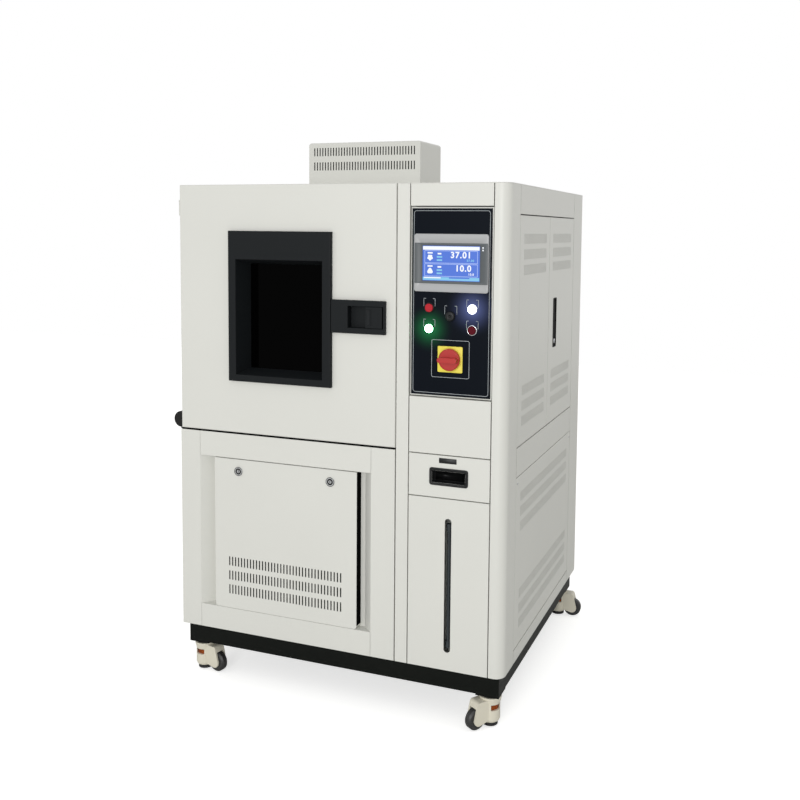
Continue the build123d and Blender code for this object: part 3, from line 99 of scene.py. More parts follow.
def add_node(tree, kind, inputs=None, **settings):
    """Adds one shader node, sets its properties, and fills or links its sockets."""
    node = tree.nodes.new(kind)
    for key, value in settings.items():
        setattr(node, key, value)
    for key, value in (inputs or {}).items():
        if isinstance(value, bpy.types.NodeSocket):
            tree.links.new(value, node.inputs[key])
        else:
            node.inputs[key].default_value = value
    return node


world = bpy.data.worlds.new("studio")
scene.world = world
world.use_nodes = True
tree = world.node_tree
tree.nodes.clear()
rays = add_node(tree, "ShaderNodeLightPath").outputs
direct = add_node(tree, "ShaderNodeMath", {0: rays["Is Camera Ray"], 1: rays["Is Transmission Ray"]},
                  operation="MAXIMUM")
seen = add_node(tree, "ShaderNodeMath", {0: direct.outputs[0], 1: rays["Is Glossy Ray"]},
                operation="MAXIMUM")
sky = add_node(tree, "ShaderNodeBackground", {"Color": to_linear("#FBFBFA"), "Strength": SKY_LEVEL})
white = add_node(tree, "ShaderNodeBackground", {"Color": (1, 1, 1, 1), "Strength": 1.0})
both = add_node(tree, "ShaderNodeMixShader", {0: seen.outputs[0], 1: sky.outputs[0], 2: white.outputs[0]})
add_node(tree, "ShaderNodeOutputWorld", {"Surface": both.outputs[0]})


def soft_box(name, place, target, size, power):
    """A square area lamp that looks from its place towards a target."""
    lamp = bpy.data.lights.new(name, "AREA")
    lamp.shape = "SQUARE"
    lamp.size = size
    lamp.energy = power
    lamp_object = bpy.data.objects.new(name, lamp)
    scene.collection.objects.link(lamp_object)
    lamp_object.location = place
    lamp_object.rotation_euler = (Vector(target) - Vector(place)).to_track_quat("-Z", "Y").to_euler()


soft_box("key_box", (0.9, -7.0, 2.1), (0, -0.4, 0.6), 2.6, 178)


def make_mesh(name, points, faces, smooth=True):
    """Makes an object from an array of points and a list of faces, with its place in its mesh."""
    mesh = bpy.data.meshes.new(name)
    mesh.from_pydata(np.asarray(points).reshape(-1, 3).tolist(), [], [list(map(int, f)) for f in faces])
    mesh.update()
    mesh.polygons.foreach_set("use_smooth", [smooth] * len(mesh.polygons))
    piece = bpy.data.objects.new(name, mesh)
    scene.collection.objects.link(piece)
    return piece


floor = make_mesh("floor", [(-9, -6, 0), (9, -6, 0), (9, 7, 0), (-9, 7, 0)], [(0, 1, 2, 3)], False)
floor_paint = bpy.data.materials.new("white_studio_floor")
floor_paint.use_nodes = True
tree = floor_paint.node_tree
tree.nodes.clear()
rays = add_node(tree, "ShaderNodeLightPath").outputs
matt = add_node(tree, "ShaderNodeBsdfDiffuse", {"Color": to_linear("#E9E9E7")})
lift = add_node(tree, "ShaderNodeMath", {0: rays["Is Camera Ray"], 1: FLOOR_LIFT}, operation="MULTIPLY")
glow = add_node(tree, "ShaderNodeEmission", {"Color": (1, 1, 1, 1), "Strength": lift.outputs[0]})
blend = add_node(tree, "ShaderNodeAddShader", {0: matt.outputs[0], 1: glow.outputs[0]})
add_node(tree, "ShaderNodeOutputMaterial", {"Surface": blend.outputs[0]})
floor.data.materials.append(floor_paint)

# Cabinet skins: 2 mm steel sheet, folded, spot-welded and powder coated in warm ivory.
# The coat has a faint orange peel, and its bends are rounded, so they catch thin lights.
IVORY = "#D9D9D3"


def finish(name, colour, roughness, grain_mm, bump, mottle=0.02, metallic=0.0, edge_mm=1.0,
           stretch=(1, 1, 1), sheen=0.5):
    """An opaque finish: fine grain as bump and gloss change, and a broad faint change of tone."""
    made = bpy.data.materials.new(name)
    made.use_nodes = True
    tree = made.node_tree
    shader = tree.nodes["Principled BSDF"]
    place = add_node(tree, "ShaderNodeTexCoord").outputs["Object"]
    grain_place = add_node(tree, "ShaderNodeMapping", {"Vector": place, "Scale": stretch})
    grain = add_node(tree, "ShaderNodeTexNoise", {
        "Vector": grain_place.outputs[0], "Scale": 1000 / grain_mm, "Detail": 3.0})
    broad = add_node(tree, "ShaderNodeTexNoise", {"Vector": place, "Scale": 3.1, "Detail": 2.0})
    tone = add_node(tree, "ShaderNodeMapRange", {0: broad.outputs[0], 3: 1 - mottle, 4: 1 + mottle})
    flat = add_node(tree, "ShaderNodeRGB")
    flat.outputs[0].default_value = to_linear(colour)
    toned = add_node(tree, "ShaderNodeVectorMath", {0: flat.outputs[0], "Scale": tone.outputs[0]},
                     operation="SCALE")
    gloss = add_node(tree, "ShaderNodeMapRange", {
        0: grain.outputs[0], 3: roughness * 0.88, 4: roughness * 1.12})
    edge = add_node(tree, "ShaderNodeBevel", {"Radius": edge_mm / 1000}, samples=4)
    relief = add_node(tree, "ShaderNodeBump", {
        "Height": grain.outputs[0], "Strength": bump, "Distance": 0.0004, "Normal": edge.outputs[0]})
    tree.links.new(toned.outputs[0], shader.inputs["Base Color"])
    tree.links.new(gloss.outputs[0], shader.inputs["Roughness"])
    tree.links.new(relief.outputs[0], shader.inputs["Normal"])
    shader.inputs["Metallic"].default_value = metallic
    shader.inputs["Specular IOR Level"].default_value = sheen
    return made


def dress(material, *names):
    """Gives carried-over solids a finish."""
    for name in names:
        slots = nodes[name].data.materials
        slots.clear()
        slots.append(material)


ivory_coat = finish("ivory_powder_coat", IVORY, 0.42, 2.2, 0.10, edge_mm=1.6)
dress(ivory_coat, "left_side_panel", "rear_panel", "top_panel", "posts_and_rails", "side_service_panel",
      "column_front", "lower_front_frame", "lower_cover", "motor_cover", "door_skin", "side_door_front",
      "side_door_rear", "water_drawer", "inner_frame")

# Base: rails of folded channel with a floor sheet, in black enamel.
black_enamel = finish("black_enamel", "#0B0E0B", 0.45, 3.0, 0.15, sheen=0.12)
dress(black_enamel, "base_frame")

# Control plate: navy-black anodised aluminium, 4 mm, sunk 2 mm behind the column's face,
# with a fine pale line printed inside its edge. Its pieces, and all that follow, are skins
# over closed loops, because each is a run of sections along one direction.
PLATE_FACE = 2.0
COLUMN = 901.5
FACE_LINE = 1.3


def loft(name, loops, material, body, ends=True, ring=False, smooth=True):
    """Skin over equal closed loops: quads join point i of a loop to point i of the next one."""
    loops = np.asarray(loops, float)
    rows, count = loops.shape[:2]
    first = np.arange(count)
    following = np.roll(first, -1)
    low = np.arange(rows if ring else rows - 1)[:, None] * count
    high = (low + count) % (rows * count)
    quads = np.stack([low + first, low + following, high + following, high + first], axis=-1)
    faces = quads.reshape(-1, 4).tolist()
    if ends and not ring:
        faces += [first[::-1].tolist(), (first + (rows - 1) * count).tolist()]
    piece = make_mesh(name, loops, faces, smooth)
    shell = bmesh.new()
    shell.from_mesh(piece.data)
    bmesh.ops.recalc_face_normals(shell, faces=shell.faces)
    shell.to_mesh(piece.data)
    shell.free()
    piece.data.materials.append(material)
    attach(piece, body)
    return piece


def rounded(width, height, radius, arc_points=6):
    """Rounded rectangle about zero: four quarter arcs of the corner radius, anticlockwise."""
    quarter = np.linspace(0, np.pi / 2, arc_points)
    turn = np.tile(quarter, 4) + np.repeat(np.arange(4) * np.pi / 2, arc_points)
    side = np.repeat([1, -1, -1, 1], arc_points) * (width / 2 - radius)
    rise = np.repeat([1, 1, -1, -1], arc_points) * (height / 2 - radius)
    return np.stack([side + radius * np.cos(turn), rise + radius * np.sin(turn)], axis=-1)


def facing(shape, x, y, z):
    """Stands a flat outline upright, facing the front, at depth y."""
    return at(x + shape[:, 0], y, z + shape[:, 1])


def moulded(name, x, z, sections, material, body, **how):
    """A piece facing the front from sections of width, height, corner radius and depth."""
    return loft(name, [facing(rounded(w, h, r), x, y, z) for w, h, r, y in sections], material, body, **how)


def turned(name, x, z, sections, material, body, count=40, **how):
    """A round piece facing the front from sections of radius and depth."""
    turn = np.linspace(0, 2 * np.pi, count, endpoint=False)
    circle = np.stack([np.cos(turn), np.sin(turn)], axis=-1)
    return loft(name, [facing(circle * r, x, y, z) for r, y in sections], material, body, **how)


navy_plate = finish("navy_black_anodised_plate", "#060C15", 0.34, 0.8, 0.04, sheen=0.07)
dress(navy_plate, "control_panel")
pale_ink = finish("pale_grey_screen_ink", "#AEB4B8", 0.55, 0.5, 0.02, edge_mm=0.1)


def printed_frame(name, x, z, width, height, radius, line=FACE_LINE):
    """A thin printed outline: a band of the line's width, a tenth of a millimetre thick."""
    inner = (width - 2 * line, height - 2 * line, max(radius - line, 0.2))
    outer = (width, height, radius)
    back, front = PLATE_FACE - 0.01, PLATE_FACE - 0.12
    moulded(name, x, z, [(*outer, back), (*outer, front), (*inner, front), (*inner, back)],
            pale_ink, "cabinet", ring=True)


printed_frame("plate_border", COLUMN, 1064.5, 226, 516, 8)

# Operator panel: a silver moulded bezel with a dark band across it, and a bright screen
# behind glass that shows two rows of readings between a title bar and a status bar.
DISPLAY_Z = 1176.0
SCREEN_Z = DISPLAY_Z - 1
SCREEN_FACE = -1.9
CELL_WIDTH, CELL_HEIGHT, CELL_LINE = 156, 34, 1.5
ROWS = (18, -19)
silver_abs = finish("silver_painted_abs", "#A9AAAB", 0.38, 1.0, 0.05, edge_mm=1.5)
band_abs = finish("dark_grey_abs_band", "#54595C", 0.45, 1.0, 0.05)
bezel = moulded("display_bezel", COLUMN, DISPLAY_Z, [
    (220, 163, 7, 2.0), (220, 163, 7, -1.6), (218.6, 161.6, 6.4, -2.7), (216, 159, 5.5, -3.0),
    (176, 104, 2, -3.0), (175, 103, 2, -1.8), (175, 103, 2, 1.0)], silver_abs, "cabinet")
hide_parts("touch_display")
moulded("display_band", COLUMN, SCREEN_Z, [
    (217, 114, 1.5, -2.9), (217, 114, 1.5, -3.3), (215.6, 112.6, 1, -3.5), (172, 101, 1.5, -3.5),
    (170, 99, 1, -1.6)], band_abs, "cabinet", ends=False)
moulded("display_housing", COLUMN, DISPLAY_Z, [(196, 142, 4, 2.1), (196, 142, 4, 46), (190, 136, 4, 48)],
        band_abs, "cabinet")


def lit(name, colour, strength):
    """A surface that glows evenly in one colour, such as a screen's pixels or a lamp's cap."""
    made = bpy.data.materials.new(name)
    made.use_nodes = True
    tree = made.node_tree
    shader = tree.nodes["Principled BSDF"]
    place = add_node(tree, "ShaderNodeTexCoord").outputs["Object"]
    dots = add_node(tree, "ShaderNodeTexNoise", {"Vector": place, "Scale": 900.0})
    level = add_node(tree, "ShaderNodeMapRange", {
        0: dots.outputs[0], 3: 0.96 * strength, 4: 1.04 * strength})
    shader.inputs["Base Color"].default_value = (0.01, 0.01, 0.01, 1)
    shader.inputs["Roughness"].default_value = 0.25
    shader.inputs["Emission Color"].default_value = to_linear(colour)
    tree.links.new(level.outputs[0], shader.inputs["Emission Strength"])
    return made


screen_blue = lit("screen_blue", "#4470D6", 1.0)
screen_white = lit("screen_white", "#F4F8FF", 1.0)
screen_cyan = lit("screen_cyan", "#7FC4E8", 1.0)
screen_pale = lit("screen_pale_line", "#A9BEF6", 1.0)


def screen_block(name, across, up, width, height, material, lift=0.0):
    """A flat lit area on the screen, measured from the screen's centre, just under the glass."""
    y = SCREEN_FACE - lift
    moulded(name, COLUMN + across, SCREEN_Z + up, [(width, height, 0.4, y + 0.3), (width, height, 0.4, y)],
            material, "cabinet", smooth=False)


MARKS = ((9, 11, screen_white), (0, 16, screen_cyan), (-9, 16, screen_cyan))
screen_block("screen_field", 0, 0, 169, 98, screen_blue)
screen_block("screen_title_bar", 0, 42.5, 167, 10, screen_white, 0.1)
screen_block("screen_status_bar", 0, -43, 167, 9, screen_cyan, 0.1)
screen_block("screen_status_marks", -55, -40.5, 50, 3.2, screen_white, 0.25)
screen_block("screen_status_shade", 25, -40.5, 60, 3.2, screen_blue, 0.25)
for row, up in enumerate(ROWS):
    for side, across in (("left", -CELL_WIDTH / 2), ("right", CELL_WIDTH / 2)):
        screen_block(f"screen_cell_{row}_{side}", across, up, CELL_LINE, CELL_HEIGHT + 1, screen_pale, 0.1)
    for edge, rise in (("top", CELL_HEIGHT / 2), ("foot", -CELL_HEIGHT / 2)):
        screen_block(f"screen_cell_{row}_{edge}", 0, up + rise, CELL_WIDTH, CELL_LINE, screen_pale, 0.1)
    screen_block(f"screen_caption_{row}", -62, up + 11, 15, 4, screen_white, 0.2)
    for number, (step, length, ink) in enumerate(MARKS):
        screen_block(f"screen_mark_{row}_{number}", -34, up + step, length, 4.5, ink, 0.2)


def screen_disc(name, across, up, radius, points):
    """A round or star-like icon: the radius swings between full and three quarters."""
    turn = np.linspace(0, 2 * np.pi, 20, endpoint=False)
    reach = radius * (0.87 + 0.13 * np.cos(points * turn + np.pi / 2))
    outline = np.stack([reach * np.cos(turn), reach * np.sin(turn)], axis=-1)
    loft(name, [facing(outline, COLUMN + across, y, SCREEN_Z + up) for y in (-1.8, -2.15)],
         screen_white, "cabinet", smooth=False)


screen_disc("screen_icon_heat", -62, 16, 9, 5)
screen_disc("screen_icon_drop", -62, -22, 9, 3)


def digits(name, text, across, up, height, material):
    """Figures from the built-in typeface, made a mesh and then put in place under the glass."""
    curve = bpy.data.curves.new(name, "FONT")
    curve.body = text
    curve.size = height / 0.72
    curve.align_x = "RIGHT"
    curve.extrude = 0.1
    curve.offset = height * 0.045
    curve.space_character = 1.18
    holder = bpy.data.objects.new(name, curve)
    scene.collection.objects.link(holder)
    flat = bpy.data.meshes.new_from_object(holder.evaluated_get(bpy.context.evaluated_depsgraph_get()))
    bpy.data.objects.remove(holder)
    points = np.empty(len(flat.vertices) * 3)
    flat.vertices.foreach_get("co", points)
    points = points.reshape(-1, 3)
    placed = at(COLUMN + across + points[:, 0], -2.3 - points[:, 2], SCREEN_Z + up + points[:, 1])
    flat.vertices.foreach_set("co", placed.reshape(-1))
    flat.materials.clear()
    flat.materials.append(material)
    piece = bpy.data.objects.new(name, flat)
    scene.collection.objects.link(piece)
    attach(piece, "cabinet")


digits("reading_temperature", "37.01", 60, 16, 17, screen_white)
digits("reading_humidity", "10.0", 60, -21, 17, screen_white)
digits("setting_temperature", "37.00", 68, 6, 6, screen_cyan)
digits("setting_humidity", "10.0", 68, -32, 6, screen_white)
for number, up in enumerate((45, 38)):
    screen_block(f"display_mark_{number}", 94, up, 4, 4, screen_white, 1.7)

# Push buttons: 22 mm lamps in moulded bezels, each under a bracket of printed lines. The
# caps are translucent polycarbonate; two are lit, and their light on the plate is painted in as a glow of the
# plate's film.
BUTTONS = {"stop": (837.5, 1049), "start": (837.5, 990), "light": (965.5, 1049), "reset": (965.5, 990)}
BUTTON_BEZEL = [(15, 2), (15, 0.2), (14.4, -1.2), (13.4, -2), (12.5, -1.8), (12.15, -0.8), (12.15, 6),
                (13.5, 6), (13.5, 2)]
BUTTON_BARREL = [(13.4, 6.1), (13.4, 40), (6.2, 40), (6.2, 9), (12.2, 9), (12.2, 6.1)]
black_abs = finish("black_moulded_abs", "#121314", 0.40, 1.2, 0.08, edge_mm=1.2, sheen=0.3)
chrome = finish("bright_chrome_plate", "#D8DADC", 0.12, 2.0, 0.0, metallic=1.0)
red_cap = finish("red_polycarbonate_cap", "#B3202C", 0.22, 2.0, 0.0, sheen=0.25)
dark_cap = finish("dark_red_polycarbonate_cap", "#560817", 0.22, 2.0, 0.0, sheen=0.12)
green_cap = lit("lit_green_cap", "#8CF7B4", 16.0)
white_cap = lit("lit_white_cap", "#D8DEFF", 12.0)
dress(red_cap, "stop_button")
dress(dark_cap, "reset_button")
dress(green_cap, "start_button")
dress(white_cap, "light_button")


def painted_button_glow(*lamps):
    """Painted light: soft glowing patches on the plate's film for the lit buttons' light; a lamp is a button,
    colour, reach and strength.
    """
    tree = navy_plate.node_tree
    place = add_node(tree, "ShaderNodeTexCoord").outputs["Object"]
    patches = []
    for button, colour, reach_mm, strength in lamps:
        x, z = BUTTONS[button]
        away = add_node(tree, "ShaderNodeVectorMath", {0: place, 1: tuple(at(x, PLATE_FACE, z))},
                        operation="DISTANCE")
        level = add_node(tree, "ShaderNodeMapRange", {
            0: away.outputs["Value"], 1: 0.008, 2: reach_mm / 1000, 3: 1.0, 4: 0.0})
        soft = add_node(tree, "ShaderNodeMath", {0: level.outputs[0], 1: 2.5}, operation="POWER")
        power = add_node(tree, "ShaderNodeMath", {0: soft.outputs[0], 1: strength}, operation="MULTIPLY")
        patches.append(add_node(tree, "ShaderNodeVectorMath", {
            0: to_linear(colour)[:3], "Scale": power.outputs[0]}, operation="SCALE").outputs[0])
    total = add_node(tree, "ShaderNodeVectorMath", {0: patches[0], 1: patches[1]}, operation="ADD")
    shader = tree.nodes["Principled BSDF"]
    tree.links.new(total.outputs[0], shader.inputs["Emission Color"])
    shader.inputs["Emission Strength"].default_value = 1.0


# Painted light: the lit buttons' glow on the plate is emission in the plate's material.
painted_button_glow(("start", "#2FC068", 75, 0.34), ("light", "#8C9CE8", 85, 0.38))


def button_bracket(name, x, z, width, height):
    """Printed strokes over a button: two uprights with short returns, open for a name strip."""
    for side in (-1, 1):
        edge = x + side * width / 2
        moulded(f"{name}_stroke_{side + 1}", edge, z, [(1.2, height, 0.4, 1.99), (1.2, height, 0.4, 1.88)],
                pale_ink, "cabinet")
        moulded(f"{name}_corner_{side + 1}", edge - side * 3, z + height / 2,
                [(7, 1.2, 0.4, 1.99), (7, 1.2, 0.4, 1.88)], pale_ink, "cabinet")


for name, (x, z) in BUTTONS.items():
    rim_material = chrome if name in ("light", "reset") else black_abs
    turned(f"{name}_button_bezel", x, z, BUTTON_BEZEL, rim_material, "cabinet", ring=True)
    turned(f"{name}_button_barrel", x, z, BUTTON_BARREL, black_abs, "cabinet", ring=True)
    button_bracket(f"{name}_label", x, z + 15, 34, 22)
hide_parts("panel_fittings")

# Buzzer: a black moulded dome with a sounding hole, under its own bracket.
BUZZER_Z = 1027
turned("buzzer_body", COLUMN, BUZZER_Z, [
    (14, 2), (14, -4), (13, -6.8), (10.5, -8), (4.5, -8), (3.6, -7.6), (3.4, -5.5), (0.2, -5.5)],
    black_abs, "cabinet")
turned("buzzer_barrel", COLUMN, BUZZER_Z, [(13.4, 2.1), (13.4, 40), (0.2, 40)], black_abs, "cabinet")
button_bracket("buzzer_label", COLUMN, BUZZER_Z + 17, 36, 24)

# Mains switch: a yellow plate under a red handle, inside a printed frame.
SWITCH_Z = 905
yellow_abs = finish("yellow_moulded_abs", "#E9D94E", 0.35, 1.5, 0.05, edge_mm=0.8)
red_abs = finish("red_moulded_abs", "#B22622", 0.33, 1.5, 0.05, edge_mm=1.5)
moulded("switch_plate", COLUMN, SWITCH_Z, [
    (74, 74, 3, 2), (74, 74, 3, -0.3), (73, 73, 2.6, -0.9), (72, 72, 2.4, -1.0)], yellow_abs, "cabinet")
turned("switch_plate_ring", COLUMN, SWITCH_Z, [
    (35.2, -0.9), (35.2, -1.15), (34.4, -1.25), (32.6, -1.25), (32, -1.1), (32, -0.9)],
    yellow_abs, "cabinet", ring=True)
moulded("switch_body", COLUMN, SWITCH_Z, [(58, 58, 3, 8.1), (58, 58, 3, 66), (56, 56, 2, 68)],
        black_abs, "cabinet")
dress(red_abs, "switch_knob")
printed_frame("switch_frame", COLUMN, SWITCH_Z + 1, 113, 107, 5)

# Column panels: the drawer's black pull and blank name plate, and the water gauge's tube.
PULL_Z = 567
NAME_PLATE_Z = 614
moulded("drawer_pull_lining", COLUMN, PULL_Z, [
    (117, 51, 7.5, -0.02), (117, 51, 7.5, -1.6), (115.4, 49.4, 6.8, -2.5), (112, 46, 5.5, -2.8),
    (101, 35, 4, -2.6), (99.2, 33.2, 3.4, -1), (98, 32, 3, 17.5), (96, 30, 2.5, 19.3), (94, 28, 2, 19.6)],
    black_abs, "drawer", ends=False)
moulded("drawer_pull_back", COLUMN, PULL_Z, [(95, 29, 2, 19.7), (95, 29, 2, 19.4)], black_abs, "drawer")
moulded("drawer_name_plate", COLUMN - 3, NAME_PLATE_Z, [
    (53, 15, 1.5, 0), (53, 15, 1.5, -0.5), (52.4, 14.4, 1.2, -0.7)], black_abs, "drawer")
gauge_glass = finish("smoked_gauge_tube", "#2B3236", 0.10, 2.0, 0.0)
dress(gauge_glass, "sight_tube")

# Door: its window surround and latch are moulded in black and its lower hinge is cast in
# black, with the upper one painted; the panes are dark heated glass, the seal is silicone.
UPPER_HINGE = 1.2
surround_abs = finish("black_textured_abs", "#16191B", 0.50, 1.4, 0.12, edge_mm=2.0, sheen=0.14)
dress(surround_abs, "window_frame", "latch_housing", "latch_paddle")
black_casting = finish("black_die_casting", "#0C0C0C", 0.36, 1.5, 0.10, edge_mm=1.5, sheen=0.3)
dress(black_casting, "hinge_knuckles", "hinge_brackets")


def paint_above(material, height, colour):
    """Above a height in metres the material's own colour gives way to a painted one."""
    tree = material.node_tree
    colour_in = tree.nodes["Principled BSDF"].inputs["Base Color"]
    place = add_node(tree, "ShaderNodeTexCoord").outputs["Object"]
    level = add_node(tree, "ShaderNodeSeparateXYZ", {0: place}).outputs["Z"]
    upper = add_node(tree, "ShaderNodeMath", {0: level, 1: height}, operation="GREATER_THAN")
    tone = add_node(tree, "ShaderNodeMixRGB", {
        "Fac": upper.outputs[0], "Color1": colour_in.links[0].from_socket, "Color2": to_linear(colour)})
    tree.links.new(tone.outputs[0], colour_in)


paint_above(black_casting, UPPER_HINGE, IVORY)
dark_glass = finish("dark_heated_glass", "#010101", 0.04, 5.0, 0.0, sheen=0.02)
dress(dark_glass, "window_glass")
seal = finish("black_silicone_seal", "#202020", 0.6, 1.0, 0.1)
dress(seal, "door_gasket")

# Test space and machine parts, seen with the doors open: stainless sheet, foam, grey
# enamelled machines, a milky water tank and pale switchgear.
steel = finish("brushed_stainless", "#B9BBBD", 0.30, 0.4, 0.05, metallic=1.0, stretch=(0.04, 1, 1))
dress(steel, "chamber_liner", "specimen_shelf", "door_inner_pan", "circulation_impeller")
foam = finish("cream_rigid_foam", "#E2D9A8", 0.9, 3.0, 0.5)
dress(foam, "chamber_insulation")
tank_plastic = finish("milky_polyethylene", "#D4D8D4", 0.45, 2.0, 0.05)
dress(tank_plastic, "water_tank")
machine_grey = finish("grey_machine_enamel", "#2E3236", 0.4, 2.0, 0.1)
dress(machine_grey, "circulation_motor", "refrigeration_unit")
dress(black_abs, "condenser_fan")
switchgear = finish("pale_switchgear", "#C9C9C2", 0.5, 2.0, 0.1)
dress(switchgear, "electrical_plate")

# Cam locks of the lower cover: a polished head with a dark rim, a dark well and a keyway.
LOCK_FACE = -1.0
LOCK_Z = 515
LOCK_BACK, LOCK_FRONT = LOCK_FACE + 0.02, LOCK_FACE - 0.25
dress(chrome, "cover_lock_left", "cover_lock_right")
for side, x in (("left", 209), ("right", 526)):
    for edge, outer, inner in (("rim", 14.0, 12.3), ("well", 9.8, 5.2)):
        turned(f"cover_lock_{side}_{edge}", x, LOCK_Z, [
            (outer, LOCK_BACK), (outer, LOCK_FRONT), (inner, LOCK_FRONT), (inner, LOCK_BACK)],
            black_abs, f"{side}_lock", ring=True)
    moulded(f"cover_lock_{side}_keyway", x, LOCK_Z, [
        (2.4, 8, 0.9, LOCK_FACE), (2.4, 8, 0.9, LOCK_FACE - 0.2)], black_abs, f"{side}_lock")

# Side doors and service panel: folded like the rest, with rows of punched vents.
SLOT_WIDTH, SLOT_LENGTH, SLOT_PITCH = 4.0, 29.0, 10.75
SIDE_FACE = 1070
FOLD_DEPTH = 20
DOOR_FOOT, DOOR_HEAD = 644.5, 1312.5
DOOR_ROWS = (1245, 1200, 1155, 804, 759, 714)
PANEL_ROWS = (489, 444, 399, 195, 150, 105)
DOOR_SLOTS, PANEL_SLOTS = 25, 57
FRONT_VENT_Y, REAR_VENT_Y, PANEL_VENT_Y = 286.5, 641.5, 464
HANDLE = (547.5, 970.0)
TRAY_WIDTH, TRAY_HEIGHT = 28.2, 156.2


def slot_centres(centre, count):
    """Centres of a row of slots at the common pitch."""
    return centre + SLOT_PITCH * (np.arange(count) - (count - 1) / 2)


def folded_side(name, y0, y1, z0, z1, vents, body, window=None):
    """A side sheet on a grid of lines through every slot edge; cells inside a slot are left out."""
    centre, count, heights = vents
    half_width, half_length = SLOT_WIDTH / 2, SLOT_LENGTH / 2
    holes = [window] if window else []
    holes += [(y - half_width, y + half_width, z - half_length, z + half_length)
              for y in slot_centres(centre, count) for z in heights]
    holes = np.array(holes)
    along = np.unique(np.concatenate([[y0, y1], holes[:, 0], holes[:, 1]]))
    up = np.unique(np.concatenate([[z0, z1], holes[:, 2], holes[:, 3]]))
    middle_y, middle_z = (along[1:] + along[:-1]) / 2, (up[1:] + up[:-1]) / 2
    inside = ((middle_y[:, None, None] > holes[:, 0]) & (middle_y[:, None, None] < holes[:, 1])
              & (middle_z[None, :, None] > holes[:, 2]) & (middle_z[None, :, None] < holes[:, 3])).any(axis=2)
    grid_y, grid_z = np.meshgrid(along, up, indexing="ij")
    front = at(SIDE_FACE, grid_y.ravel(), grid_z.ravel())
    index = np.arange(front.shape[0]).reshape(grid_y.shape)
    cells = np.stack([index[:-1, :-1], index[1:, :-1], index[1:, 1:], index[:-1, 1:]], axis=-1)[~inside]
    border = np.concatenate([index[:, 0], index[-1, 1:], index[-2::-1, -1], index[0, -2:0:-1]])
    back = front[border] - np.array([FOLD_DEPTH / 1000, 0, 0])
    skirt_index = np.arange(len(border)) + front.shape[0]
    skirt = np.stack([border, skirt_index, np.roll(skirt_index, -1), np.roll(border, -1)], axis=-1)
    piece = make_mesh(name, np.concatenate([front, back]), cells.tolist() + skirt.tolist(), False)
    bend = piece.modifiers.new("bend", "BEVEL")
    bend.width, bend.segments, bend.limit_method = 0.0016, 2, "ANGLE"
    gauge = piece.modifiers.new("gauge", "SOLIDIFY")
    gauge.thickness, gauge.offset = 0.002, -1
    piece.data.materials.append(ivory_coat)
    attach(piece, body)
    return piece


front_leaf = folded_side("side_door_front_skin", 110.5, 462.5, DOOR_FOOT, DOOR_HEAD,
                         (FRONT_VENT_Y, DOOR_SLOTS, DOOR_ROWS), "front_side_door")
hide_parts("side_door_front")
rear_leaf = folded_side("side_door_rear_skin", 465.5, 817.5, DOOR_FOOT, DOOR_HEAD,
                        (REAR_VENT_Y, DOOR_SLOTS, DOOR_ROWS), "rear_side_door",
                        window=(HANDLE[0] - TRAY_WIDTH / 2, HANDLE[0] + TRAY_WIDTH / 2,
                                HANDLE[1] - TRAY_HEIGHT / 2, HANDLE[1] + TRAY_HEIGHT / 2))
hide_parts("side_door_rear")
service = folded_side("side_service_skin", 110.5, 817.5, 41.5, 553.5,
                      (PANEL_VENT_Y, PANEL_SLOTS, PANEL_ROWS), "cabinet")
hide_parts("side_service_panel")

# Side handle and panel screws: a matt black lever in a flanged tray, with a silver key
# cylinder at its foot, and two recessed screws at the service panel's upper corners.
CYLINDER_Z = 909
SCREW_Z = 536
handle_black = finish("matt_black_zinc", "#060606", 0.6, 1.0, 0.05, sheen=0.04)
dress(handle_black, "side_handle")


def on_side(name, y, z, sections, material, body, **how):
    """A piece facing right from sections of outline, scale and place across."""
    return loft(name, [at(x, y + s * shape[:, 0], z + s * shape[:, 1]) for shape, s, x in sections],
                material, body, **how)


tray_rim, tray_well = rounded(28, 156, 2), rounded(26.4, 152, 1.5)
on_side("side_handle_tray", *HANDLE, [
    (tray_rim, 1, SIDE_FACE - 12), (tray_rim, 1, SIDE_FACE + 0.3), (tray_well, 1, SIDE_FACE + 0.3),
    (tray_well, 1, SIDE_FACE - 10)], handle_black, "rear_side_door")
flange, flange_face = rounded(44, 162, 5), rounded(42, 160, 4)
on_side("side_handle_flange", *HANDLE, [
    (flange, 1, SIDE_FACE + 0.02), (flange, 1, SIDE_FACE + 0.8), (flange_face, 1, SIDE_FACE + 1.4),
    (tray_well, 1, SIDE_FACE + 1.4), (tray_well, 1, SIDE_FACE + 0.02)],
    handle_black, "rear_side_door", ring=True)
disc, keyway = rounded(2, 2, 0.999, 12), rounded(1.8, 8, 0.8)
on_side("side_handle_cylinder", HANDLE[0], CYLINDER_Z, [
    (disc, 8, SIDE_FACE - 0.1), (disc, 8, SIDE_FACE + 0.4), (disc, 7.2, SIDE_FACE + 0.6)],
    chrome, "side_handle")
on_side("side_handle_keyway", HANDLE[0], CYLINDER_Z, [
    (keyway, 1, SIDE_FACE + 0.5), (keyway, 1, SIDE_FACE + 0.7)], black_abs, "side_handle")
for side, y in (("front", 124), ("rear", 804)):
    on_side(f"service_screw_{side}", y, SCREW_Z, [
        (disc, 4.5, SIDE_FACE - 0.1), (disc, 4.3, SIDE_FACE + 0.5), (disc, 2.5, SIDE_FACE + 0.7)],
        chrome, "cabinet")
    on_side(f"service_screw_{side}_socket", y, SCREW_Z, [
        (disc, 2.1, SIDE_FACE + 0.6), (disc, 2.1, SIDE_FACE + 0.8)], black_abs, "cabinet")

# Painted shade: thin black sheets behind every row of vents stand in for the dark inside, with
# black strips for the shade at the lower cover's edge and in the gap under the door. Each lies on the sheet
# it serves.
COVER_VENT_X, HOOD_VENT_X, FRONT_SLOTS = 367.5, 363, 37
shade_black = finish("painted_shade_black", "#050505", 0.95, 1.0, 0.3, sheen=0.02)


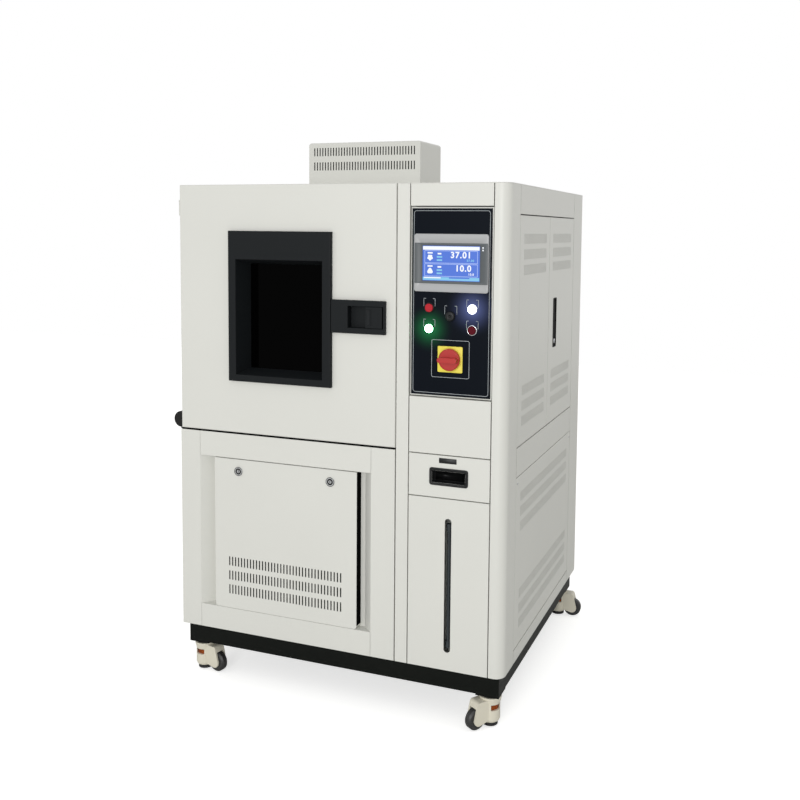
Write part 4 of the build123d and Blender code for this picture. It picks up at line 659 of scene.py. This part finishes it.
def shade_sheet(name, low, high, body):
    """A flat black sheet of painted shade between two opposite corners."""
    (x0, y0, z0), (x1, y1, z1) = low, high
    loft(name, [at([x0, x1, x1, x0], [y0, y0, y1, y1], z) for z in (z0, z1)], shade_black, body, smooth=False)


# Painted shade: black sheets behind the lower cover's and the hood's vents.
shade_sheet("cover_vent_shade", (165, 4.4, 112), (570, 5.2, 243), "cover")
shade_sheet("hood_vent_shade", (160, 582.4, 1474), (566, 583.2, 1563), "cabinet")
# Painted shade: a black strip in the gap under the door.
shade_sheet("door_gap_shade", (3, 1.5, 632.1), (734, 11, 636.4), "cabinet")
# Painted shade: a black strip on the cover's side wall, for the shaded gap beside the cover.
shade_sheet("cover_edge_shade", (613.05, 3.5, 84), (613.7, 31.5, 551), "cover")


def slot_shade_pads(name, centre, rows, front, back, body):
    """Painted shade in the slots: a black pad in each, just behind the sheet's face."""
    x, z = np.meshgrid(slot_centres(centre, FRONT_SLOTS), rows)
    half_width, half_length = SLOT_WIDTH / 2 - 0.05, SLOT_LENGTH / 2 - 0.05
    corner = np.array([(-1, -1), (1, -1), (1, 1), (-1, 1)])
    pads = [at(x.reshape(-1, 1) + half_width * corner[:, 0], y, z.reshape(-1, 1) + half_length * corner[:, 1])
            for y in (front, back)]
    points = np.concatenate(pads, axis=1)
    box = np.array([(0, 1, 2, 3), (7, 6, 5, 4), (0, 4, 5, 1), (1, 5, 6, 2), (2, 6, 7, 3), (3, 7, 4, 0)])
    faces = (np.arange(len(points))[:, None, None] * 8 + box).reshape(-1, 4)
    piece = make_mesh(name, points, faces.tolist(), False)
    piece.data.materials.append(shade_black)
    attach(piece, body)


# Painted shade: black pads inside the slots of the cover and the hood.
slot_shade_pads("cover_slot_shade", COVER_VENT_X, (225, 180, 135), 2.5, 4.6, "cover")
slot_shade_pads("hood_slot_shade", HOOD_VENT_X, (1544, 1493), 580.5, 582.6, "cabinet")
shade_back, shade_front = SIDE_FACE - 6, SIDE_FACE - 5
# Painted shade: black sheets behind the side doors' and the service panel's vents.
for level, bottom, top in (("upper", 1137, 1263), ("lower", 696, 822)):
    shade_sheet(f"front_door_{level}_mat", (shade_back, 150, bottom), (shade_front, 423, top), "front_side_door")
    shade_sheet(f"rear_door_{level}_mat", (shade_back, 505, bottom), (shade_front, 778, top), "rear_side_door")
for level, bottom, top in (("upper", 381, 507), ("lower", 87, 213)):
    shade_sheet(f"service_{level}_mat", (shade_back, 155, bottom), (shade_front, 773, top), "cabinet")

# Casters: a cast ivory housing over a dark nylon wheel, a copper-coloured adjusting ring
# and a rubber foot on a screw.
CORNERS = ("front_left", "front_right", "rear_right", "rear_left")
ivory_casting = finish("ivory_cast_housing", "#DCD7C6", 0.40, 1.5, 0.1, edge_mm=1.2)
grey_nylon = finish("dark_grey_nylon", "#2C2C2C", 0.45, 1.5, 0.1, edge_mm=1.2)
copper_ring = finish("copper_adjusting_ring", "#A9582C", 0.35, 1.5, 0.1, metallic=1.0)
rubber = finish("black_foot_rubber", "#151515", 0.65, 1.5, 0.1)
for corner in CORNERS:
    dress(ivory_casting, "caster_housing_" + corner)
    dress(grey_nylon, "caster_wheel_" + corner)
    dress(copper_ring, "caster_thumbwheel_" + corner)
    dress(rubber, "levelling_foot_" + corner)

scene.view_settings.view_transform = "Standard"
